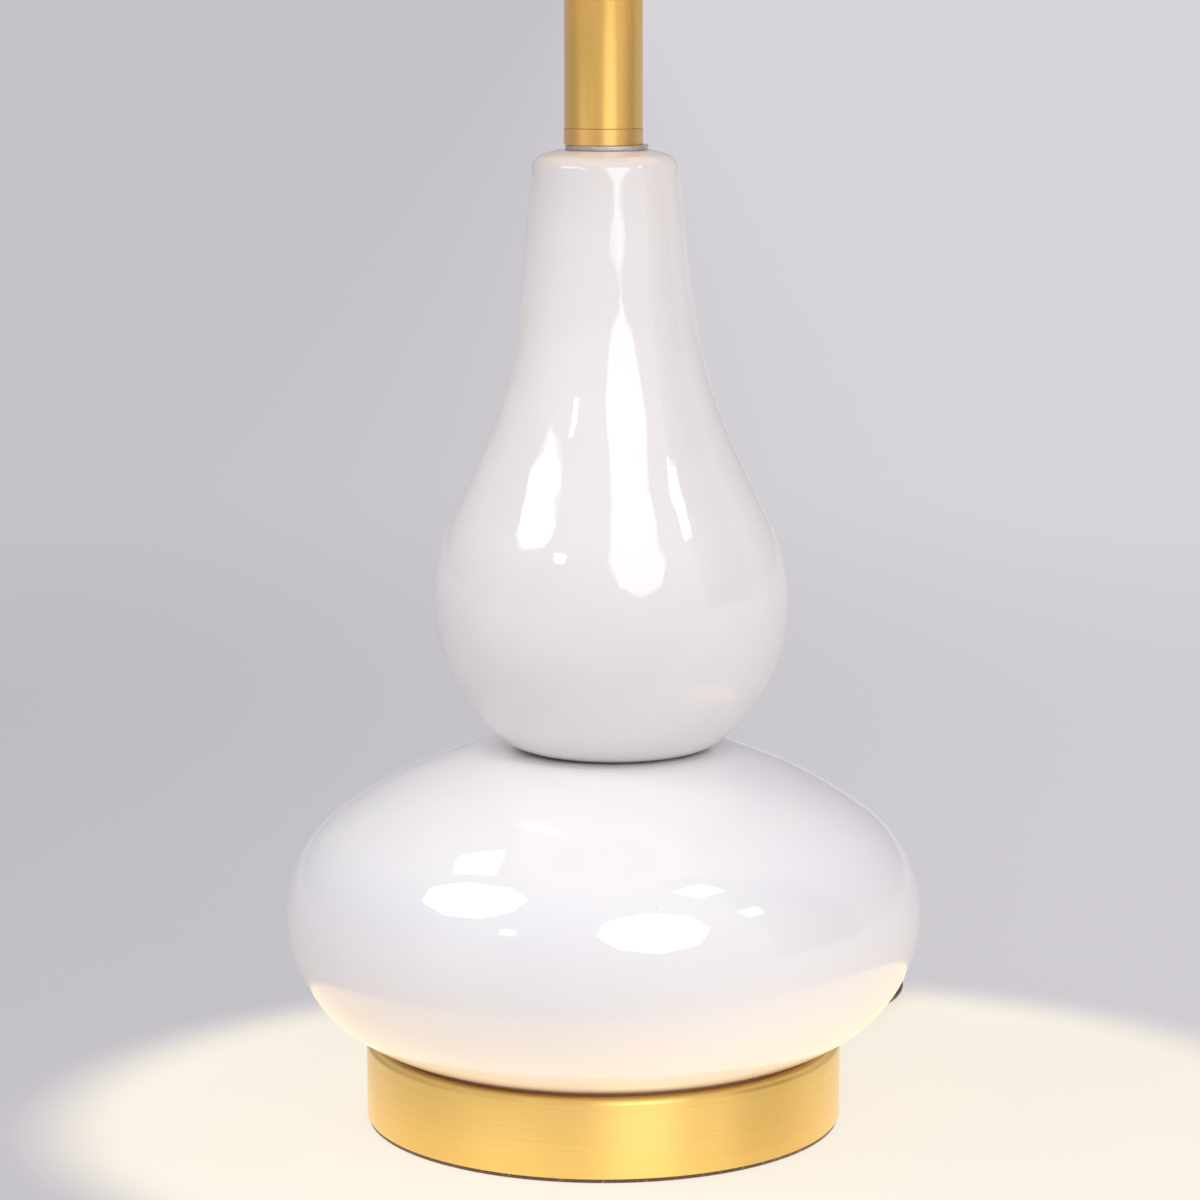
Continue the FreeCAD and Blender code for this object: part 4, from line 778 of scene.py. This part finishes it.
def make_upper_gourd():
    """A pear with a straight flank, a drawn-in waist and a domed top, a little out of true."""
    foot, top = levels("upper_gourd")
    radius, widest = 57.34, foot + 47.58
    low_bend, high_bend, waist_bend, wall, bore = 56.33, 64.71, 164.75, 4.5, 8
    flank = 20.85
    slope = math.radians(25.17)
    lean = math.radians(5.85)
    foot_reach, foot_rise, foot_bend, turn_in = 28.6, 0.3, 16.6, 3.7
    rim = radius - low_bend + math.sqrt(low_bend ** 2 - (widest - foot - turn_in) ** 2)
    outward = Vector((math.cos(slope), math.sin(slope)))
    belly_end = Vector((radius - high_bend, widest)) + outward * high_bend
    flank_end = belly_end + Vector((-outward.y, outward.x)) * flank
    outside = flank_end + outward * waist_bend

    def waist_point(angle, bend):
        return outside - Vector((math.cos(angle), math.sin(angle))) * bend

    neck_foot = waist_point(lean, waist_bend)
    taper = math.tan(lean)
    neck = neck_foot.x - (top - neck_foot.y) * taper
    section = Section().to(bore, foot, 0.3).to(foot_reach, foot, 0.05)
    section.to(foot_reach, foot + foot_rise - 0.1, 0.05)
    section.to(foot_reach + 0.3, foot + foot_rise).arc(rim, foot + turn_in, foot_bend, steps=12)
    section.arc(radius, widest, low_bend, steps=44)
    section.arc(*belly_end, high_bend, steps=20).line(*flank_end, 8)
    section.arc(*neck_foot, waist_bend, -1, 36)
    section.line(neck + 9 * taper, top - 9, 8)
    section.to(neck + 2.4 * taper, top - 2.4, 5.0).to(neck - 8, top, 12.0)
    section.to(bore, top, 0.4).to(bore, top - wall, 0.4)
    inner_neck = waist_point(lean, waist_bend + wall)
    inner_flank = waist_point(slope, waist_bend + wall)
    inner_belly = belly_end - outward * wall
    section.to(inner_neck.x - (top - wall - inner_neck.y) * taper, top - wall)
    section.to(*inner_neck).arc(*inner_flank, waist_bend + wall, 1, 12).to(*inner_belly)
    section.arc(radius - wall, widest, high_bend - wall, -1, 10)
    inner_low = low_bend - wall
    inner_foot = radius - low_bend + math.sqrt(inner_low ** 2 - (widest - foot - wall) ** 2)
    section.arc(inner_foot, foot + wall, inner_low, -1, 16)
    section.to(bore, foot + wall, 0.3)
    shift, drift = 3.0 * MM, -0.0135
    skew = Matrix.Translation((shift - drift * foot * MM, 0, 0))
    skew[0][2] = drift
    turned("upper_gourd_look", section, upper_glaze, steps=256, place=skew)


make_lower_gourd()
make_upper_gourd()


# Neck


def make_neck():
    low, high = levels("neck_washer")
    section = ring_section(6.4, 13.2, low + 0.02, high, 0.45)
    low_corner, high_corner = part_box("neck_washer")
    middle = (low_corner[0] + high_corner[0]) / 2
    turned("neck_washer_look", section, zinc, steps=128,
           place=Matrix.Translation((middle, 0, 0)))
    low, high = levels("neck_collar")
    seat = high - 2
    section = Section().to(5.4, low, 0.2).to(12.6, low, 0.35).to(12.6, seat, 0.35)
    section.to(11.4, seat, 0.1).to(11.4, high, 0.4).to(5.4, high, 0.2)
    turned("neck_collar_look", section, collar_brass, steps=160)
    low, high = levels("neck_tube")
    section = ring_section(11.5, 12.5, low, high, 0.45)
    turned("neck_tube_look", section, tube_brass, steps=160)
    low, high = levels("tube_cap")
    seat = low + 2
    section = Section().to(5.4, low, 0.2).to(11.4, low, 0.4).to(11.4, seat, 0.1)
    section.to(12.5, seat, 0.1).to(12.5, high, 0.6).to(5.4, high, 0.2)
    turned("tube_cap_look", section, tube_brass, steps=160)


make_neck()


# Harp

HARP_LEG = 28.0


def make_harp():
    """A bow of round wire with a flat crown, a pad and a threaded stud."""
    low, high = levels("harp")
    stud_height, pad_rise, pad_depth = 12, 3, 4
    leg_height, flare_bend, crown_bend, flat_half = 24, 28, 30, 8
    crown = high - stud_height - pad_rise
    section = Section().to(HARP_LEG, low).to(HARP_LEG, low + leg_height)
    flare = math.radians(35)
    radius = HARP_LEG + flare_bend * (1 - math.cos(flare))
    height = low + leg_height + flare_bend * math.sin(flare)
    top = Vector((flat_half, crown - crown_bend))
    gap = Vector((radius, height)) - top
    aim = gap.y * math.sin(flare) - gap.x * math.cos(flare)
    side = (crown_bend ** 2 - gap.length_squared) / (2 * (aim + crown_bend))
    centre = Vector((radius - side * math.cos(flare), height + side * math.sin(flare)))
    shoulder = top + (top - centre) * (crown_bend / (side - crown_bend))
    section.arc(radius, height, flare_bend, -1, 12).arc(shoulder.x, shoulder.y, side, 1, 40)
    section.arc(flat_half, crown, crown_bend, 1, 16)
    half = [Vector((point.x, 0, point.y)) for point in section.outline()]
    whole = half + [Vector((-point.x, 0, point.z)) for point in reversed(half)]
    bow = bent_rod("harp_bow", whole, 2.0, resolution=5)
    dress(bow, fitting_brass, "lamp", ["harp"])
    pad = high - stud_height
    stud = Section().to(0, pad - pad_depth).to(7, pad - pad_depth, 0.5).to(7, pad, 0.5).to(3.0, pad)
    turns = 14
    for step in range(turns):
        level = pad + 0.5 + step * 0.8
        stud.to(2.75, level).to(3.0, level + 0.4)
    stud.to(2.7, high, 0.2).to(0, high)
    turned("harp_stud", stud, fitting_brass, ["harp"], steps=48)


def make_sleeves():
    for side, name in ((-HARP_LEG, "harp_sleeve_left"), (HARP_LEG, "harp_sleeve_right")):
        low, high = levels(name)
        section = Section().to(2.1, low, 0.1).to(4.4, low, 0.3).to(4.4, low + 1.5, 0.5)
        section.to(3.5, low + 1.9, 0.2).to(3.6, high, 0.5).to(2.1, high, 0.1)
        body = name.removeprefix("harp_")
        turned(name + "_look", section, fitting_brass, body=body, steps=64,
               place=Matrix.Translation((side * MM, 0, 0)))


make_harp()
make_sleeves()


# Socket and bulb


def make_socket():
    low, high = levels("socket_cap")
    shoulder = low + 4
    section = Section().to(5.1, low, 0.2).to(7.5, low, 0.5).to(7.5, shoulder, 0.8)
    section.to(17.2, shoulder, 5.8).to(17.2, high, 0.3)
    section.to(16.5, high, 0.2).to(16.5, shoulder + 0.7, 5.1).to(5.1, shoulder + 0.7, 0.1)
    turned("socket_cap_look", section, fitting_brass, steps=128)
    low, high = levels("socket_liner")
    turned("socket_liner_look", ring_section(15.2, 15.8, low, high, 0.15), card, steps=96)


def knob_place():
    """Turns a piece drawn upwards so that it points to the front at the shaft's height."""
    low, high = levels("switch_shaft")
    lay = Matrix.Rotation(math.pi / 2, 4, "X")
    return Matrix.Translation((0, 0, (low + high) / 2 * MM)) @ lay


def make_knob():
    """A turn knob with a ridged grip."""
    section = Section().to(0, 23).to(4.4, 23, 0.2).to(5.5, 24.2, 0.5).to(5.0, 26.4, 0.6)
    section.to(5.0, 30.6, 0.6).to(5.5, 32.8, 0.5).to(4.6, 34, 0.6).to(0, 33.6)
    mesh = turned_mesh(section, 96)
    ridges = 16
    for vert in mesh.verts:
        reach = math.hypot(vert.co.x, vert.co.y)
        if reach > 4.7 * MM:
            angle = math.atan2(vert.co.y, vert.co.x)
            pull = 1 - 0.035 * (1 - math.cos(angle * ridges))
            vert.co.x *= pull
            vert.co.y *= pull
    bmesh.ops.transform(mesh, matrix=knob_place(), verts=mesh.verts)
    finish_piece(mesh, "switch_knob_look", moulding, "switch", ["switch_knob"])


def make_bulb():
    low, high = levels("bulb_glass")
    ball, throat, wall = 30, 13.2, 0.8
    centre = high - ball
    across = throat + ball
    fall = math.sqrt((2 * ball) ** 2 - across ** 2)
    section = Section().to(throat, low).to(throat, centre - fall)
    section.arc(across / 2, centre - fall / 2, ball, -1, 12)
    section.arc(0, high, ball, 1, 40)
    section.to(0, high - wall)
    inner = Section().to(0, high - wall)
    share = (ball - wall) / (2 * ball)
    inner.arc(across * share, centre - fall * share, ball - wall, -1, 24)
    inner.arc(throat - wall, centre - fall, ball + wall, 1, 8).to(throat - wall, low)
    section.points += inner.points[1:]
    turned("bulb_glass_look", section, frosted, ["bulb_glass"], steps=96)


make_socket()
make_knob()
make_bulb()


# Shade

RING_WIRE = 1.6


def make_shade():
    """Linen over a smooth lining, with the linen's own bands folded over both edges."""
    low, high = levels("shade_cover")
    bottom, top = 127.0, 101.6
    slope = (bottom - top) / (high - low)

    def cone(inner, outer, low_edge, high_edge, soft):
        section = Section()
        corners = (inner, low_edge), (outer, low_edge), (outer, high_edge), (inner, high_edge)
        for inset, level in corners:
            section.to(top + (high - level) * slope - inset, level, soft)
        return section

    cover = turned("shade_linen_cover", cone(0.45, 0.02, low + 0.1, high - 0.1, 0.1), linen,
                   ["shade_cover"], body="shade", steps=256)
    inside = turned("shade_lining_cone", cone(0.98, 0.50, low + 0.1, high - 0.1, 0.1), lining,
                    ["shade_cover"], body="shade", steps=256)
    band = 12
    for name, start in (("shade_trim_top", high - band), ("shade_trim_bottom", low)):
        section = cone(-0.1, -0.7, start + 0.02, start + band - 0.02, 0.28)
        turned(name + "_look", section, trim_linen, body="shade",
                            steps=256)
    slant = math.hypot(high - low, bottom - top)


def make_spider():
    """Three arms that drop from the top ring to the washer on the harp."""
    low, high = levels("shade_spider")
    ring, bend = 98.8, 8
    turned("spider_ring", wire_section(RING_WIRE, ring, high - RING_WIRE), wire,
           ["shade_spider"], body="shade", steps=192)
    turned("spider_washer", ring_section(3.1, 11, low, low + 1.5, 0.3), wire,
           ["shade_spider"], body="shade", steps=96)
    arm = Section().to(7.0, low + RING_WIRE).to(ring - bend, low + RING_WIRE)
    arm.arc(ring, low + RING_WIRE + bend, bend, 1, 12).to(ring, high - RING_WIRE)
    for index in range(3):
        turn = Matrix.Rotation(math.tau * index / 3, 3, "Z")
        points = [turn @ Vector((point.x, 0, point.y)) for point in arm.outline()]
        rod = bent_rod(f"spider_arm_{index + 1}", points, RING_WIRE, resolution=4)
        dress(rod, wire, "shade", ["shade_spider"])
    low, high = levels("shade_bottom_ring")
    low_corner, high_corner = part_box("shade_bottom_ring")
    section = wire_section(RING_WIRE, high_corner[0] / MM - RING_WIRE, (low + high) / 2)
    turned("bottom_ring_wire", section, wire, ["shade_bottom_ring"], body="shade",
           steps=192)


def make_finial():
    """A turned ball on a waisted foot."""
    low, high = levels("finial")
    radius, throat = 8, 4.7
    ball = high - radius
    section = Section().to(3.1, low, 0.1).to(6.5, low, 0.3).to(6.5, low + 1.4, 0.6)
    section.to(5.0, low + 2.6, 0.6).to(4.6, low + 3.6, 0.5).to(5.3, low + 4.6, 0.3)
    join = ball - math.sqrt(radius ** 2 - throat ** 2)
    section.to(throat, join).arc(0, high, radius, 1, 40)
    section.to(0, low + 12).to(3.1, low + 11.6)
    turned("finial_look", section, fitting_brass, steps=96)


make_shade()
make_spider()
make_finial()


# CAD pieces that keep their shape


def refinish(node, material):
    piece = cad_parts[node]
    piece.data.materials.clear()
    piece.data.materials.append(material)


for node in ("harp_saddle", "socket_shell", "neck_nut", "socket_screw_shell", "socket_contact",
             "switch_shaft"):
    refinish(node, fitting_brass)
for node in ("base_nut", "base_nut_washer", "lamp_pipe"):
    refinish(node, zinc)
for node in ("bulb_cap", "bulb_tip"):
    refinish(node, thread)
refinish("base_weight", iron)
refinish("switch_insulator", moulding)
refinish("lamp_lead", sheath)


# Studio


def make_floor():
    """A plain pale floor: warm where the lamp stands, fading into a cool grey."""
    mesh = bmesh.new()
    bmesh.ops.create_circle(mesh, cap_ends=True, radius=90.0, segments=128)
    data = bpy.data.meshes.new("floor")
    mesh.to_mesh(data)
    mesh.free()
    floor = put(data, "floor")
    floor.location.z = -0.0002
    finish = Finish("floor", Roughness=0.7)
    spread = finish.node("ShaderNodeVectorMath", {"operation": "MULTIPLY_ADD"}, {
        0: finish.spot, 1: (1 / 0.20, 1 / 0.165, 0), 2: (-0.15, 0.02, 0)})
    reach = finish.node("ShaderNodeVectorMath", {"operation": "LENGTH"}, {0: spread}, "Value")
    mirrored = 1 - finish.node("ShaderNodeLightPath", output="Is Camera Ray")
    far = reach.ease(0.92, 1.16) * (1 - mirrored) + reach.ease(0.97, 1.04) * mirrored
    cream = finish.blend(finish.noise(6, 2), rgb(255, 246, 230), rgb(255, 250, 238))
    # Painted warm reflection: rays that are not camera rays see the cream floor warmer.
    warm = finish.blend(mirrored, cream, rgb(255, 233, 202))
    side = finish.part("X").ease(-0.35, 0.35)
    grey = finish.blend(side, rgb(197, 194, 201), rgb(216, 213, 218))
    colour = finish.blend(far, warm, grey)
    finish.surface(Base_Color=colour)
    glossy = finish.node("ShaderNodeLightPath", output="Is Glossy Ray")
    front = 1 - finish.part("Y").ease(-0.25, -0.05)
    # Painted reflection and bounce light: other rays see the floor near the lamp brighter, and
    # glossy rays see its far front brighter.
    strength = mirrored * (1 - far) * 0.45 + glossy * far * front * 0.35 + 1.0
    glow = finish.node("ShaderNodeEmission", {}, {"Color": colour, "Strength": strength},
                       "Emission")
    share = finish.reach().ease(0.6, 1.6, 0.78, 1.0)
    mixed = finish.node("ShaderNodeMixShader", {}, {
        0: share, 1: Signal(finish, finish.shader.outputs[0]), 2: glow})
    finish.feed(finish.tree.nodes["Material Output"].inputs["Surface"], mixed)
    data.materials.append(finish.material)


DIAMOND, OCTAGON, SQUARE = 0.5, 0.707, 1.0


def make_softbox(name, towards, distance, half_angle, glow, corner, turn=0.0):
    """A flat light that faces the lamp; corner says how much of a square's corners it keeps."""
    aim = Vector((0, 0, 0.13))
    way = Vector(towards).normalized()
    side = 2 * distance * math.tan(math.radians(half_angle))
    light = bpy.data.lights.new(name, "AREA")
    light.shape = "SQUARE"
    light.size = side
    light.energy = glow * math.pi * side ** 2
    light.use_nodes = True
    graph = Graph(light.node_tree)
    spot = graph.node("ShaderNodeNewGeometry", output="Parametric")
    away = graph.node("ShaderNodeVectorMath", {"operation": "SUBTRACT"}, {
        0: spot, 1: (0.5, 0.5, 0)})
    reach = graph.node("ShaderNodeVectorMath", {"operation": "ABSOLUTE"}, {0: away})
    both = graph.node("ShaderNodeVectorMath", {"operation": "DOT_PRODUCT"},
                      {0: reach, 1: (1, 1, 0)}, "Value")
    graph.feed(graph.tree.nodes["Emission"].inputs["Strength"], both.sum("LESS_THAN", corner))
    box = put(light, name)
    box.location = aim + way * distance
    facing = way.to_track_quat("Z", "Y") @ Quaternion((0, 0, 1), math.radians(turn))
    box.rotation_euler = facing.to_euler()
    box.visible_camera = False


def light_studio():
    """Two octagonal softboxes and four small panels, placed where the glaze mirrors them."""
    make_softbox("left_softbox", (-0.612, -0.292, 0.735), 1.017, 15.8, 3.3, OCTAGON, 22.5)
    make_softbox("front_softbox", (0.282, -0.808, 0.518), 1.361, 17.8, 2.9, OCTAGON, 22.5)
    make_softbox("high_panel", (-0.435, 0.195, 0.879), 1.173, 5.3, 4.0, SQUARE)
    make_softbox("right_diamond", (0.423, -0.22, 0.879), 1.198, 7.5, 3.6, DIAMOND, 45)
    make_softbox("right_panel", (0.715, -0.34, 0.611), 3.035, 3.4, 6.0, SQUARE)
    make_softbox("small_panel", (-0.521, -0.702, 0.486), 2.561, 2.7, 5.0, SQUARE)


def surround():
    """A grey room, lighter to the right. Mirrors see its front brighter and one dark band."""
    world = bpy.data.worlds.new("studio")
    world.use_nodes = True
    graph = Graph(world.node_tree)
    way = graph.node("ShaderNodeTexCoord", output="Generated")
    x, y = (graph.node("ShaderNodeSeparateXYZ", {}, {0: way}, axis) for axis in "XY")
    level = x * 0.12 + 0.74
    front = (y * -2.5).sum("MAXIMUM", 0.0).sum("MINIMUM", 1.0)
    dark = y.sum("ARCTAN2", x).sum("COMPARE", math.radians(-6), math.radians(20))
    glossy = graph.node("ShaderNodeLightPath", output="Is Glossy Ray")
    mirrored = glossy * (front * 0.6 - dark) + 1.0
    background = graph.tree.nodes["Background"]
    background.inputs["Color"].default_value = rgb(207, 204, 210)
    graph.feed(background.inputs["Strength"], level * mirrored.sum("MAXIMUM", 0.25))
    bpy.context.scene.world = world


make_floor()
light_studio()
surround()
bpy.context.scene.view_settings.view_transform = "Standard"
